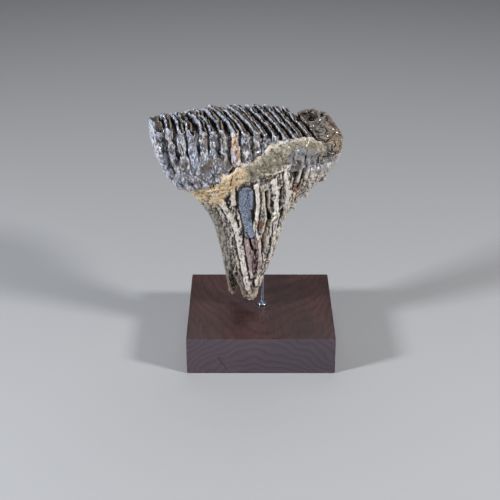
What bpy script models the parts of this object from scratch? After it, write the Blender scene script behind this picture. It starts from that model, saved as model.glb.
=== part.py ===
"""Fossil mammoth molar, life size, on the rod and walnut block it is shown on.

The part's own frame: +Z up, +Y away from the front of the block, origin at the middle of
the block's underside. Sizes below are in millimetres and become metres as meshes are made.
The tooth is one long body, seen from the side with its chewing surface on top. It is drawn
by level outlines and parted by thin cuts where its crown, heel, neck and roots meet.
"""

import math
import random

import bmesh
import bpy
from mathutils import Matrix, Vector

MM = 0.001
GAP = 0.3

# The block, its rod and the collar at the rod's foot
BLOCK_SIDE = 152.0
BLOCK_HEIGHT = 40.0
BLOCK_EASE = 1.2
ROD_RADIUS = 2.0
ROD_AT = (1.8, 2.2)
ROD_DEPTH = 25.0
ROD_TOP = 132.0
ROD_SIDES = 16
COLLAR_RADIUS = 5.4
COLLAR_HEIGHT = 1.8
COLLAR_EDGE = 0.7
ROD_CHAMFER = 0.4
CUT_SPARE = 5.0
FAR = 300.0

# The tooth's body: height against reach to the left, reach to the right and half depth
LEFT_EDGE = (
    (54, -35.5), (79, -38.8), (104, -42.8), (130, -48.0), (155, -59.0),
    (179, -78.0), (203, -99.5), (226, -110.0), (249, -113.5), (272, -110.0),
)
RIGHT_EDGE = (
    (58, 3.0), (81, 8.0), (102, 16.0), (126, 22.8), (142, 26.5),
    (155, 38.5), (172, 53.0), (189, 73.0), (206, 83.0), (228, 84.5), (272, 76.0),
)
HALF_DEPTH = (
    (54, 16.0), (84, 21.0), (104, 25.0), (127, 28.5), (150, 32.0),
    (172, 35.0), (194, 37.0), (216, 38.0), (240, 37.0), (272, 33.0),
)
# How far the body is turned from the block's front, and how square its outline is
TURN = ((60, 0.0), (110, 4.0), (150, 10.0), (180, 16.0), (200, 18.0), (272, 18.0))
SQUARENESS = ((60, 2.0), (130, 2.1), (180, 2.4), (220, 2.8), (272, 2.9))

# The chewing surface: a long arc that falls towards the heel and twists to the front there
WEAR_HEIGHT = 253.4
WEAR_SLOPE = -0.150
WEAR_BEND = -0.00113
WEAR_TILT = 0.10
WEAR_TWIST = 0.0019

# The crown is cut from the neck on a slant, just under the edge of the cement, which rises
# to the right and covers the plates' feet
CUT_HEIGHT = 197.0
CUT_SLOPE = 0.13
CEMENT_HEIGHT = 209.0
CEMENT_SLOPE = 0.20
ROOT_HEIGHT = 84.0
BASIN_DEPTH = 9.0
CORE_INSET = 2.4
NECK_SPARE = 3.0

# The plates, each a flat loop of enamel standing a little askew across the crown
PLATES = 16
FIRST_PLATE = -0.91
LAST_PLATE = 0.565
PLATE_THICK = 6.4
FOOT_THICK = 8.4
PLATE_SKEW = 6.0
ENAMEL = 1.6
LOOP_DEPTH = 2.2
PLATE_STANDS = 17.0
ARC_STEPS = 6
SIDE_STEPS = 4
PLATE_PROUD = 1.4
FOOT_SUNK = 3.0
FOOT_CLEAR = 2.0
END_DROP = 2.4
FIRST_RISE = 3.0

# The heel, the worn lump behind the last plate, and the round pit in its tilted top
HEEL_CUT = 63.0
HEEL_AT = (76.5, -4.0)
HEEL_SIZE = (21.0, 30.5)
HEEL_SQUARE = 0.76
HEEL_TOP = 240.0
HEEL_TILT = 0.31
HEEL_PROFILE = ((0.0, 0.85), (0.35, 1.0), (0.7, 1.0), (0.9, 0.93), (1.0, 0.8))
HEEL_SIDES = 28
HEEL_FOOT = 4.0
PIT_AT = (73.0, 6.0)
PIT_RADII = (8.5, 8.5)
PIT_DEPTH = 4.0
PIT_PROFILE = (0.1, 0.5, 0.8, 1.0, 1.3)
PIT_SIDES = 16

# The two roots part on a slanting line. Each is given as its middle at the cut, its tip and
# the half sizes of its end
FORK_POINT = (-22.0, 1.0)
FORK_NORMAL = (0.78, -0.62)
FORK_GAP = 0.5
MAIN_ROOT = {"top": (-8.0, -4.0), "tip": (-11.6, -8.0, 46.7), "end": (8.0, 7.0)}
SMALL_ROOT = {"top": (-28.0, 7.0), "tip": (-29.7, 9.0, 45.0), "end": (6.0, 5.5)}
TIP_LENGTH = 5.5

# Hollows in the front face: the worn-open root canal, two long clefts and the fork's groove,
# each with its upper and lower end (x, z), half width and depth
FRONT_HOLLOWS = (
    ((-14.0, 190.0), (-12.0, 150.0), 8.5, 4.5),
    ((17.0, 178.0), (7.0, 100.0), 4.5, 6.0),
    ((-13.0, 142.0), (-5.0, 116.0), 4.0, 4.0),
    ((-31.0, 116.0), (-29.0, 84.0), 4.5, 4.0),
    ((33.0, 196.0), (24.0, 160.0), 4.0, 4.0),
)
BACK_HOLLOWS = (
    ((-46.0, 188.0), (-20.0, 92.0), 6.0, 5.0),
    ((6.0, 196.0), (-4.0, 120.0), 5.5, 5.5),
    ((44.0, 204.0), (18.0, 130.0), 5.0, 4.5),
    ((-14.0, 112.0), (-16.0, 84.0), 4.5, 4.0),
)

# Broken rootlets under the heel and along the lower right edge: where each leaves the body
# (x, y, z), where it ends and its radius
ROOTLETS = (
    ((63.0, 3.0, 205.0), (64.0, 2.0, 181.0), 6.0),
    ((50.0, 8.0, 191.0), (54.5, 11.0, 173.0), 6.5),
    ((43.0, 7.0, 178.0), (47.0, 8.0, 160.5), 5.0),
    ((30.0, 2.0, 168.0), (35.5, 5.0, 148.0), 5.5),
    ((69.0, 20.0, 208.0), (73.5, 24.0, 190.0), 6.5),
    ((36.0, 20.0, 175.0), (38.5, 26.0, 155.0), 6.0),
)
# The chipped lip of cement on the left, under the first plate
LIP = ((-66.0, -14.0, 180.0), (-80.5, -21.0, 184.5), 4.5)

BODY_SIDES = 88
CROWN_RINGS = 6
NECK_RINGS = 20
ROOT_RINGS = 8
ROOT_SIDES = 36
ROOT_TAPER = 0.85
PEG_SIDES = 8
PEG_RINGS = 5
PEG_TAPER = 1.6
PEG_TIP = 0.35
PEG_FLATNESS = 1.5
SEED = 11

MATERIALS = {
    "enamel": ((0.30, 0.27, 0.25), 0.35, 0.0),
    "dentine": ((0.33, 0.25, 0.17), 0.55, 0.0),
    "cement": ((0.48, 0.38, 0.24), 0.55, 0.0),
    "walnut": ((0.16, 0.07, 0.045), 0.45, 0.0),
    "steel": ((0.62, 0.64, 0.68), 0.30, 1.0),
}


def clear_scene():
    for thing in list(bpy.data.objects):
        bpy.data.objects.remove(thing, do_unlink=True)


def finish_for(name):
    """The material of that name, made once."""
    if name in bpy.data.materials:
        return bpy.data.materials[name]
    colour, roughness, metallic = MATERIALS[name]
    material = bpy.data.materials.new(name)
    material.use_nodes = True
    shader = material.node_tree.nodes["Principled BSDF"]
    shader.inputs["Base Color"].default_value = (*colour, 1.0)
    shader.inputs["Roughness"].default_value = roughness
    shader.inputs["Metallic"].default_value = metallic
    return material


def ease(share):
    """0 to 1 with level ends."""
    share = min(1.0, max(0.0, share))
    return share * share * (3.0 - 2.0 * share)


def mix(low, high, share):
    return low + (high - low) * share


def along(table, height):
    """The value at a height, on a smooth curve through the table's rows."""
    if height <= table[0][0]:
        return table[0][1]
    if height >= table[-1][0]:
        return table[-1][1]
    at = next(i for i in range(len(table) - 1) if table[i + 1][0] >= height)
    slopes = []
    for row in (at, at + 1):
        below, above = table[max(0, row - 1)], table[min(len(table) - 1, row + 1)]
        slopes.append((above[1] - below[1]) / (above[0] - below[0]))
    (low_z, low), (high_z, high) = table[at], table[at + 1]
    span = high_z - low_z
    t = (height - low_z) / span
    return (
        (2 * t**3 - 3 * t**2 + 1) * low
        + (t**3 - 2 * t**2 + t) * span * slopes[0]
        + (3 * t**2 - 2 * t**3) * high
        + (t**3 - t**2) * span * slopes[1]
    )


def section(height):
    """The body's outline at a height: middle x, half length, half depth, turn and power."""
    left, right = along(LEFT_EDGE, height), along(RIGHT_EDGE, height)
    depth = along(HALF_DEPTH, height)
    turn = math.radians(along(TURN, height))
    power = along(SQUARENESS, height)
    dual = power / (power - 1.0)
    across = ((right - left) / 2) ** dual - (depth * math.sin(turn)) ** dual
    length = across ** (1 / dual) / math.cos(turn)
    return (left + right) / 2, length, depth, turn, power


def to_world(height, s, u):
    """x and y of a point s along the body and u across it."""
    middle, _, _, turn, _ = section(height)
    return (
        middle + s * math.cos(turn) - u * math.sin(turn),
        s * math.sin(turn) + u * math.cos(turn),
    )


def wear(s, u):
    """Height of the chewing surface."""
    return (
        WEAR_HEIGHT
        + WEAR_SLOPE * s
        + WEAR_BEND * s * s
        + (WEAR_TILT + WEAR_TWIST * s) * u
    )


def crown_cut(x):
    """Height of the slanting cut between crown and neck."""
    return CUT_HEIGHT + CUT_SLOPE * x


def dent(hollows, x, z):
    """How deep the hollows of one face are at a point."""
    deepest = 0.0
    for (top_x, top_z), (low_x, low_z), half_width, depth in hollows:
        share = (top_z - z) / (top_z - low_z)
        off = (x - mix(top_x, low_x, min(1.0, max(0.0, share)))) / half_width
        beyond = max(0.0, -share, share - 1.0) * (top_z - low_z) / (1.5 * half_width)
        deepest = max(deepest, depth * ease(1.0 - math.hypot(off, beyond)))
    return deepest


def body_point(angle, height_rule, inset=0.0):
    """A point of the body's wall. height_rule gives its height from x, s and u."""
    height = height_rule(0.0, 0.0, 0.0)
    for _ in range(5):
        _, length, depth, _, power = section(height)
        c, k = math.cos(angle), math.sin(angle)
        s = math.copysign(abs(c) ** (2 / power), c) * (length - inset)
        u = math.copysign(abs(k) ** (2 / power), k) * (depth - inset)
        x, y = to_world(height, s, u)
        height = height_rule(x, s, u)
    front = ease(-k * 2.5)
    back = ease(k * 2.5)
    y += front * dent(FRONT_HOLLOWS, x, height) - back * dent(BACK_HOLLOWS, x, height)
    return x, y, height


def body_ring(height_rule, inset=0.0):
    step = 2 * math.pi / BODY_SIDES
    return [body_point(step * (i + 0.5), height_rule, inset) for i in range(BODY_SIDES)]


def mesh_object(name, points, faces, finish):
    mesh = bpy.data.meshes.new(name)
    mesh.from_pydata([[v * MM for v in p] for p in points], [], faces)
    shape = bmesh.new()
    shape.from_mesh(mesh)
    bmesh.ops.triangulate(shape, faces=shape.faces)
    bmesh.ops.recalc_face_normals(shape, faces=shape.faces)
    shape.to_mesh(mesh)
    shape.free()
    mesh.materials.append(finish_for(finish))
    mesh.shade_smooth()
    thing = bpy.data.objects.new(name, mesh)
    bpy.context.scene.collection.objects.link(thing)
    return thing


def wall_faces(count, low, high):
    """The band of faces between two rings, from the numbers of their first points."""
    band = []
    for i in range(count):
        j = (i + 1) % count
        band.append((low + i, low + j, high + j, high + i))
    return band


def loft(name, rings, finish, tip=None, closed=False):
    """A closed body through rings of equal count, capped at both ends, or run into a ring."""
    count = len(rings[0])
    rows = rings[:-1] if closed else rings
    points = [p for ring in rows for p in ring]
    faces = []
    for r in range(len(rings) - 1):
        faces += wall_faces(count, r * count, (r + 1) % len(rows) * count)
    if closed:
        return mesh_object(name, points, faces, finish)
    for ring, start, end in ((rings[0], 0, None), (rings[-1], (len(rings) - 1) * count, tip)):
        points.append(end or [sum(p[k] for p in ring) / count for k in range(3)])
        hub = len(points) - 1
        faces += [(start + i, start + (i + 1) % count, hub) for i in range(count)]
    return mesh_object(name, points, faces, finish)


def largest_shell(thing):
    """Keeps only the mesh's largest closed surface."""
    shape = bmesh.new()
    shape.from_mesh(thing.data)
    left = set(shape.faces)
    shells = []
    while left:
        shell, edge = set(), [next(iter(left))]
        while edge:
            face = edge.pop()
            if face in shell:
                continue
            shell.add(face)
            edge.extend(f for e in face.edges for f in e.link_faces if f not in shell)
        left -= shell
        shells.append(shell)
    keep = max(shells, key=len)
    bmesh.ops.delete(shape, geom=[f for f in shape.faces if f not in keep], context="FACES")
    bmesh.ops.triangulate(shape, faces=shape.faces)
    shape.to_mesh(thing.data)
    shape.free()
    return thing


def apply_boolean(thing, operation, solver, other=None, group=None):
    cut = thing.modifiers.new(operation.title(), "BOOLEAN")
    cut.operation = operation
    cut.solver = solver
    if group:
        cut.operand_type = "COLLECTION"
        cut.collection = group
    else:
        cut.object = other
    with bpy.context.temp_override(object=thing, active_object=thing):
        bpy.ops.object.modifier_apply(modifier=cut.name)


def join(thing, others):
    """Fuses others into thing in one union."""
    group = bpy.data.collections.new(thing.name + "_pieces")
    bpy.context.scene.collection.children.link(group)
    for other in others:
        group.objects.link(other)
    apply_boolean(thing, "UNION", "MANIFOLD", group=group)
    for other in others:
        bpy.data.objects.remove(other, do_unlink=True)
    bpy.data.collections.remove(group)
    return largest_shell(thing)


def cut_away(thing, cutter, solver="MANIFOLD"):
    apply_boolean(thing, "DIFFERENCE", solver, other=cutter)
    bpy.data.objects.remove(cutter, do_unlink=True)
    return largest_shell(thing)


def block_at(corner_low, corner_high, turn=0.0, pivot=(0.0, 0.0)):
    """A plain cutting block between two corners, turned about a pivot in plan."""
    shape = bmesh.new()
    bmesh.ops.create_cube(shape, size=1.0)
    size = [(h - l) * MM for l, h in zip(corner_low, corner_high)]
    middle = [(h + l) / 2 * MM for l, h in zip(corner_low, corner_high)]
    bmesh.ops.scale(shape, vec=size, verts=shape.verts)
    bmesh.ops.translate(shape, vec=middle, verts=shape.verts)
    bmesh.ops.rotate(
        shape,
        verts=shape.verts,
        cent=(pivot[0] * MM, pivot[1] * MM, 0.0),
        matrix=Matrix.Rotation(turn, 3, "Z"),
    )
    mesh = bpy.data.meshes.new("cutter")
    shape.to_mesh(mesh)
    shape.free()
    thing = bpy.data.objects.new("cutter", mesh)
    bpy.context.scene.collection.objects.link(thing)
    return thing


def turned(name, profile, at, sides, finish, closed=False):
    """A round solid from (radius, height) pairs, from its foot up. A closed profile makes a ring."""
    rings = []
    for radius, height in profile:
        ring = []
        for i in range(sides):
            a = 2 * math.pi * i / sides
            ring.append((at[0] + radius * math.cos(a), at[1] + radius * math.sin(a), height))
        rings.append(ring)
    return loft(name, rings + rings[:1] if closed else rings, finish, closed=closed)


def peg(name, start, end, radius):
    """A flattened peg of cement that tapers from its sunk root to a blunt tip."""
    start, end = Vector(start), Vector(end)
    way = (end - start).normalized()
    side = way.orthogonal().normalized()
    other = way.cross(side)
    outline = []
    for r in range(PEG_RINGS):
        share = r / (PEG_RINGS - 1)
        size = radius * mix(1.0, PEG_TIP, share**PEG_TAPER)
        ring = []
        for i in range(PEG_SIDES):
            a = 2 * math.pi * i / PEG_SIDES
            point = start.lerp(end, share)
            point += side * math.cos(a) * size + other * math.sin(a) * size * PEG_FLATNESS
            ring.append(tuple(point))
        outline.append(ring)
    return loft(name, outline, "cement", tip=tuple(end + way * radius * PEG_TIP))


def make_stand():
    half = BLOCK_SIDE / 2
    block = block_at((-half, -half, 0.0), (half, half, BLOCK_HEIGHT))
    block.name = "stand_base"
    block.data.materials.append(finish_for("walnut"))
    eased = block.modifiers.new("Bevel", "BEVEL")
    eased.width = BLOCK_EASE * MM
    eased.segments = 2
    with bpy.context.temp_override(object=block, active_object=block):
        bpy.ops.object.modifier_apply(modifier=eased.name)
    foot = BLOCK_HEIGHT - ROD_DEPTH
    bore = [(ROD_RADIUS + GAP, foot - GAP), (ROD_RADIUS + GAP, BLOCK_HEIGHT + CUT_SPARE)]
    cut_away(block, turned("cutter", bore, ROD_AT, ROD_SIDES, "walnut"), "EXACT")

    slim = ROD_RADIUS - ROD_CHAMFER
    rod = [(slim, foot), (ROD_RADIUS, foot + ROD_CHAMFER)]
    rod += [(ROD_RADIUS, ROD_TOP - ROD_CHAMFER), (slim, ROD_TOP)]
    turned("stand_rod", rod, ROD_AT, ROD_SIDES, "steel")

    under, over = BLOCK_HEIGHT + GAP, BLOCK_HEIGHT + GAP + COLLAR_HEIGHT
    bore = ROD_RADIUS + GAP
    ring = [(bore, under), (COLLAR_RADIUS, under), (COLLAR_RADIUS, over - COLLAR_EDGE)]
    ring += [(COLLAR_RADIUS - COLLAR_EDGE, over), (bore, over)]
    turned("stand_collar", ring, ROD_AT, 2 * ROD_SIDES, "steel", closed=True)


def rod_hole():
    """The drilled hole that the rod stands in, with its clearance."""
    size = ROD_RADIUS + GAP
    hole = [(size, BLOCK_HEIGHT), (size, ROD_TOP + GAP)]
    return turned("cutter", hole, ROD_AT, ROD_SIDES, "dentine")


def crown_core():
    """The body of the crown, from the cement edge up to the basin that the plates stand in."""
    rings = []
    for r in range(CROWN_RINGS):
        share = r / (CROWN_RINGS - 1)

        def height_rule(x, s, u, share=share):
            low = crown_cut(x) + GAP / 2
            high = max(wear(s, u) - BASIN_DEPTH, low + 4.0)
            return mix(low, high, share)

        rings.append(body_ring(height_rule, CORE_INSET * ease(share * 1.6)))
    return capped_across("crown", rings, "dentine")


def capped_across(name, rings, finish):
    """A loft whose top is closed by strips that run from its front wall to its back."""
    count = len(rings[0])
    half = count // 2
    points = [p for ring in rings for p in ring]
    faces = []
    for r in range(len(rings) - 1):
        faces += wall_faces(count, r * count, (r + 1) * count)
    points.append([sum(p[k] for p in rings[0]) / count for k in range(3)])
    faces += [((i + 1) % count, i, len(points) - 1) for i in range(count)]
    top = (len(rings) - 1) * count
    rows = []
    for i in range(half):
        back, front = top + i, top + count - 1 - i
        row = [back]
        for step in range(1, 4) if 0 < i < half - 1 else ():
            points.append([mix(points[back][k], points[front][k], step / 4) for k in range(3)])
            row.append(len(points) - 1)
        rows.append([*row, front])
    for near, far in zip(rows, rows[1:]):
        if len(near) == len(far):
            faces += [(near[k], near[k + 1], far[k + 1], far[k]) for k in range(len(near) - 1)]
        else:
            faces.append((*near, *reversed(far)))
    return mesh_object(name, points, faces, finish)


def flat_loop(half, reach):
    """Plan outline of a plate: two straight sides and round ends, as (across, along) pairs."""
    straight = reach - half
    outline = []
    for end in (1, -1):
        for i in range(ARC_STEPS + 1):
            a = math.pi * i / ARC_STEPS
            outline.append((end * half * math.cos(a), end * (straight + half * math.sin(a))))
        for i in range(1, SIDE_STEPS):
            outline.append((-end * half, end * straight * (1.0 - 2.0 * i / SIDE_STEPS)))
    return outline


def plate(index, chance):
    """One plate: a flat loop of enamel, sunk in the crown, with a shallow valley in its top."""
    place = mix(FIRST_PLATE, LAST_PLATE, index / (PLATES - 1))
    place += chance.uniform(-0.008, 0.008)
    thick = chance.uniform(0.88, 1.08)
    bow = chance.uniform(-1.5, 1.5)
    rise = chance.uniform(-1.3, 1.0) + FIRST_RISE * max(0.0, 1.0 - index / 2)
    skew = math.tan(math.radians(PLATE_SKEW))
    middle, length, _, turn, power = section(WEAR_HEIGHT)
    top_s = place * length
    foot = CEMENT_HEIGHT + CEMENT_SLOPE * (middle + top_s * math.cos(turn))
    foot = min(foot, wear(top_s, 0.0) - PLATE_STANDS)

    def ring(level, inset, sink):
        high = mix(foot, wear(top_s, 0.0), level)
        _, long, deep, _, _ = section(high)
        reach = deep * (1.0 - abs(place) ** power) ** (1 / power)
        reach += mix(-FOOT_SUNK, PLATE_PROUD, ease(level * 1.5)) - inset
        half = thick * mix(FOOT_THICK, PLATE_THICK, ease(level)) / 2 - inset
        outline = []
        for across, u in flat_loop(half, reach):
            near_end = abs(u / reach)
            s = place * long + across + bow * (near_end**2 - 0.5) * level - u * skew
            z = mix(foot, wear(s, u) + rise, level) - END_DROP * near_end**6 * level - sink
            x, y = to_world(high, s, u)
            outline.append((x, y, max(z, crown_cut(x) + FOOT_CLEAR)))
        return outline

    rings = [ring(level, 0.0, 0.0) for level in (0.0, 0.3, 0.55, 0.8, 1.0)]
    rings.append(ring(1.0, ENAMEL, 0.0))
    rings.append(ring(1.0, ENAMEL + 0.3, LOOP_DEPTH))
    return loft(f"plate_{index:02d}", rings, "enamel")


def heel_top(u):
    """Height of the heel's own worn face, which tips to the front."""
    return HEEL_TOP + HEEL_TILT * u


def heel_swelling():
    """The heel's rounded lump with the round pit in its top."""
    low = crown_cut(HEEL_AT[0]) + HEEL_FOOT

    def ring(level, swell):
        outline = []
        for i in range(HEEL_SIDES):
            a = 2 * math.pi * i / HEEL_SIDES
            c, k = math.cos(a), math.sin(a)
            u = HEEL_AT[1] + HEEL_SIZE[1] * swell * math.copysign(abs(k) ** HEEL_SQUARE, k)
            s = HEEL_AT[0] + HEEL_SIZE[0] * swell * math.copysign(abs(c) ** HEEL_SQUARE, c)
            s -= u * math.tan(math.radians(PLATE_SKEW))
            x, y = to_world(HEEL_TOP, s, u)
            outline.append((x, y, mix(low, heel_top(u), level)))
        return outline

    rings = [ring(level, swell) for level, swell in HEEL_PROFILE]
    lump = loft("heel_lump", rings, "dentine")
    x, y = to_world(HEEL_TOP, *PIT_AT)
    dish = []
    for share in PIT_PROFILE:
        size = math.sin(min(share, 1.0) * math.pi / 2) * max(1.0, share)
        ring_points = []
        for i in range(PIT_SIDES):
            a = 2 * math.pi * i / PIT_SIDES
            px, py = PIT_RADII[0] * size * math.cos(a), PIT_RADII[1] * size * math.sin(a)
            z = heel_top(PIT_AT[1] + py) - PIT_DEPTH * (1.0 - share)
            ring_points.append((x + px, y + py, z))
        dish.append(ring_points)
    return cut_away(lump, loft("cutter", dish, "dentine"))


def heel_plane(side):
    """A block that covers one side of the cut between the plates and the heel."""
    turn = math.radians(along(TURN, WEAR_HEIGHT) + PLATE_SKEW)
    middle = section(WEAR_HEIGHT)[0]
    near, far = (HEEL_CUT - GAP / 2, FAR) if side > 0 else (-FAR, HEEL_CUT + GAP / 2)
    return block_at((middle + near, -FAR, 0.0), (middle + far, FAR, FAR), turn, (middle, 0.0))


def make_crown():
    chance = random.Random(SEED)
    crown = crown_core()
    heel = crown.copy()
    heel.data = crown.data.copy()
    heel.name = "heel"
    bpy.context.scene.collection.objects.link(heel)

    join(crown, [plate(i, chance) for i in range(PLATES)])
    cut_away(crown, heel_plane(1))
    join(heel, [heel_swelling()])
    cut_away(heel, heel_plane(-1))


def make_neck():
    """The neck and the upper roots in one piece, down to the fork."""
    rings = []
    for r in range(NECK_RINGS):
        share = r / (NECK_RINGS - 1)

        def height_rule(x, s, u, share=share):
            return mix(ROOT_HEIGHT + GAP / 2, crown_cut(x) + NECK_SPARE, share)

        rings.append(body_ring(height_rule))
    neck = loft("neck", rings, "cement")
    pegs = [peg(f"rootlet_{i}", *shape) for i, shape in enumerate(ROOTLETS)]
    pegs.append(peg("lip", *LIP))
    join(neck, pegs)
    over = block_at((-FAR, -FAR, 0.0), (FAR, FAR, FAR))
    shear_to_cut(over)
    cut_away(neck, over)
    cut_away(neck, rod_hole())


def shear_to_cut(block):
    """Lifts a block onto the slanting cut, so that it covers all that lies above it."""
    for vertex in block.data.vertices:
        x, z = vertex.co.x / MM, vertex.co.z / MM
        vertex.co.z = (z + crown_cut(x) - GAP / 2) * MM


def reach_to_wall(centre, way, wall):
    """Distance from a centre to a closed outline in plan."""
    nearest = math.inf
    for (ax, ay, _), (bx, by, _) in zip(wall, wall[1:] + wall[:1]):
        ex, ey = bx - ax, by - ay
        cross = way[0] * ey - way[1] * ex
        if abs(cross) < 1e-9:
            continue
        dx, dy = ax - centre[0], ay - centre[1]
        far = (dx * ey - dy * ex) / cross
        share = (dx * way[1] - dy * way[0]) / cross
        if far > 0 and -1e-6 <= share <= 1 + 1e-6:
            nearest = min(nearest, far)
    return nearest


def make_root(name, shape, side, wall):
    """One root, from its share of the neck's foot down to its tip."""
    (top_x, top_y), (tip_x, tip_y, tip_z) = shape["top"], shape["tip"]
    offset = [top_x - FORK_POINT[0], top_y - FORK_POINT[1]]
    from_fork = abs(offset[0] * FORK_NORMAL[0] + offset[1] * FORK_NORMAL[1]) - FORK_GAP
    rings = []
    for r in range(ROOT_RINGS):
        share = r / (ROOT_RINGS - 1)
        z = mix(ROOT_HEIGHT - GAP / 2, tip_z + TIP_LENGTH, share)
        x, y = mix(top_x, tip_x, share), mix(top_y, tip_y, share)
        ring = []
        for i in range(ROOT_SIDES):
            a = 2 * math.pi * i / ROOT_SIDES
            way = (math.cos(a), math.sin(a))
            reach = reach_to_wall((top_x, top_y), way, wall)
            towards = -side * (way[0] * FORK_NORMAL[0] + way[1] * FORK_NORMAL[1])
            if towards > 0:
                reach = min(reach, from_fork / towards)
            end = 1 / math.hypot(way[0] / shape["end"][0], way[1] / shape["end"][1])
            size = mix(reach, end, share**ROOT_TAPER)
            ring.append((x + way[0] * size, y + way[1] * size, z))
        rings.append(ring)
    return loft(name, rings, "cement", tip=(tip_x, tip_y, tip_z))


def make_roots():
    wall = body_ring(lambda x, s, u: ROOT_HEIGHT)
    main = make_root("root_main", MAIN_ROOT, 1, wall)
    cut_away(main, rod_hole())
    make_root("root_small", SMALL_ROOT, -1, wall)


clear_scene()
make_stand()
make_crown()
make_neck()
make_roots()
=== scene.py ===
"""Fossil mammoth molar on its rod and walnut block, with the finish of every surface.

Metres, +Z up, +Y away from the front of the block. The tooth's own curves are in millimetres,
as its body is drawn, and become metres as its meshes are made.
"""

import math
import random

import bpy
import numpy as np
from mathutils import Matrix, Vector, noise


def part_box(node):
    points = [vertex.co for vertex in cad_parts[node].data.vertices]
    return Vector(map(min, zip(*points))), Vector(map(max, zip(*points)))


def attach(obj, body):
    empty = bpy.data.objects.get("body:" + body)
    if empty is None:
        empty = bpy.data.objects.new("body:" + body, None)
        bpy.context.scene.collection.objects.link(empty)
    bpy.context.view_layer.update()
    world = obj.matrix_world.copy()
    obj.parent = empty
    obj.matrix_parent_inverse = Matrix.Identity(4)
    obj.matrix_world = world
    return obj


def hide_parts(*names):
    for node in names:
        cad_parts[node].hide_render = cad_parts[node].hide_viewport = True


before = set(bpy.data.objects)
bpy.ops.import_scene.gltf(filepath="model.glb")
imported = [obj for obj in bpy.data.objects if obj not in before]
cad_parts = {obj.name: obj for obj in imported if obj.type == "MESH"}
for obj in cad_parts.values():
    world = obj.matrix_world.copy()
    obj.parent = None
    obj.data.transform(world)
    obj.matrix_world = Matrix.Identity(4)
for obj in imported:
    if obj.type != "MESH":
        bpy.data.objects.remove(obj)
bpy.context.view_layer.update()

# Camera: it stands in front of the block, a little above the tooth, and looks down on the
# chewing surface without turning to either side.
CAMERA_AT = (-0.01115, -1.1865, 0.6478)
LOOK_DOWN = math.radians(24.6)
LENS_MM = 89.7
SENSOR_MM = 36.0

bpy.ops.object.camera_add(location=CAMERA_AT, rotation=(math.pi / 2 - LOOK_DOWN, 0.0, 0.0))
camera = bpy.context.object
camera.data.lens = LENS_MM
camera.data.sensor_width = SENSOR_MM
bpy.context.scene.camera = camera

# Studio: a pale floor under the block, one large soft lamp from each side of the front, a
# wide one overhead and a faint glow all round.
FLOOR_SIZE = 9.0
FLOOR_COLOUR = (0.42, 0.43, 0.45, 1.0)
FLOOR_ROUGHNESS = 0.8
LIT_POINT = Vector((0.0, 0.0, 0.16))
LAMPS = {
    "left lamp": {"at": (-1.45, -0.80, 0.85), "size": 0.26, "power": 34.0, "colour": (0.97, 0.98, 1.0)},
    "right lamp": {"at": (1.35, -0.75, 0.95), "size": 0.26, "power": 27.0, "colour": (1.0, 0.98, 0.95)},
    "top lamp": {"at": (0.0, 0.9, 1.7), "size": 1.2, "power": 8.0, "colour": (0.97, 0.98, 1.0)},
}
GLOW_COLOUR = (0.80, 0.84, 0.90, 1.0)
GLOW_STRENGTH = 0.07

bpy.ops.mesh.primitive_plane_add(size=FLOOR_SIZE, location=(0.0, 0.0, 0.0))
floor = bpy.context.object
floor.name = "floor"
floor_finish = bpy.data.materials.new("pale floor")
floor_finish.use_nodes = True
floor_shader = floor_finish.node_tree.nodes["Principled BSDF"]
floor_shader.inputs["Base Color"].default_value = FLOOR_COLOUR
floor_shader.inputs["Roughness"].default_value = FLOOR_ROUGHNESS
floor.data.materials.append(floor_finish)

for lamp_name, lamp in LAMPS.items():
    aim = (LIT_POINT - Vector(lamp["at"])).to_track_quat("-Z", "Y").to_euler()
    bpy.ops.object.light_add(type="AREA", location=lamp["at"], rotation=aim)
    light = bpy.context.object
    light.name = lamp_name
    light.data.size = lamp["size"]
    light.data.energy = lamp["power"]
    light.data.color = lamp["colour"]

room = bpy.data.worlds.new("room")
room.use_nodes = True
room.node_tree.nodes["Background"].inputs["Color"].default_value = GLOW_COLOUR
room.node_tree.nodes["Background"].inputs["Strength"].default_value = GLOW_STRENGTH
bpy.context.scene.world = room
bpy.context.scene.view_settings.view_transform = "Standard"

# Walnut block: sawn square from near the heart of the tree, so its front shows the rings end
# on and its top shows them as long arches. Its edges are eased, it is drilled for the rod,
# and a drying crack runs into its front.
HOLE_RADIUS = 0.0023
HOLE_DEPTH = 0.0253
HOLE_SIDES = 64
DRILL_OVER = 0.01
EDGE_EASE = 0.0012
EDGE_STEPS = 4
FLAT_PAST = math.radians(35.0)
ROD_MIDDLE = (0.0018, 0.0022)
CRACK = ((-0.0440, 0.0215), (-0.0425, 0.0175), (-0.0405, 0.0125), (-0.0370, 0.0085), (-0.0345, 0.0030))
CRACK_WIDTH = 0.0009
CRACK_DEPTH = 0.006
CRACK_SLANT = 0.0004
CRACK_OVER = 0.002
PITH_AT = (0.004, -0.076, -0.072)
PITH_RISE = math.radians(17.0)
RING_WIDTH = 0.0062
WALNUT_DARK = (0.020, 0.009, 0.009, 1.0)
WALNUT_MIDDLE = (0.042, 0.019, 0.020, 1.0)
WALNUT_LIGHT = (0.072, 0.032, 0.031, 1.0)
# The end grain's grey lavender is partly its own paler tone and partly a painted sheen of bluish light.
END_GRAIN_AND_SHEEN = (0.072, 0.060, 0.084, 1.0)


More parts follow.
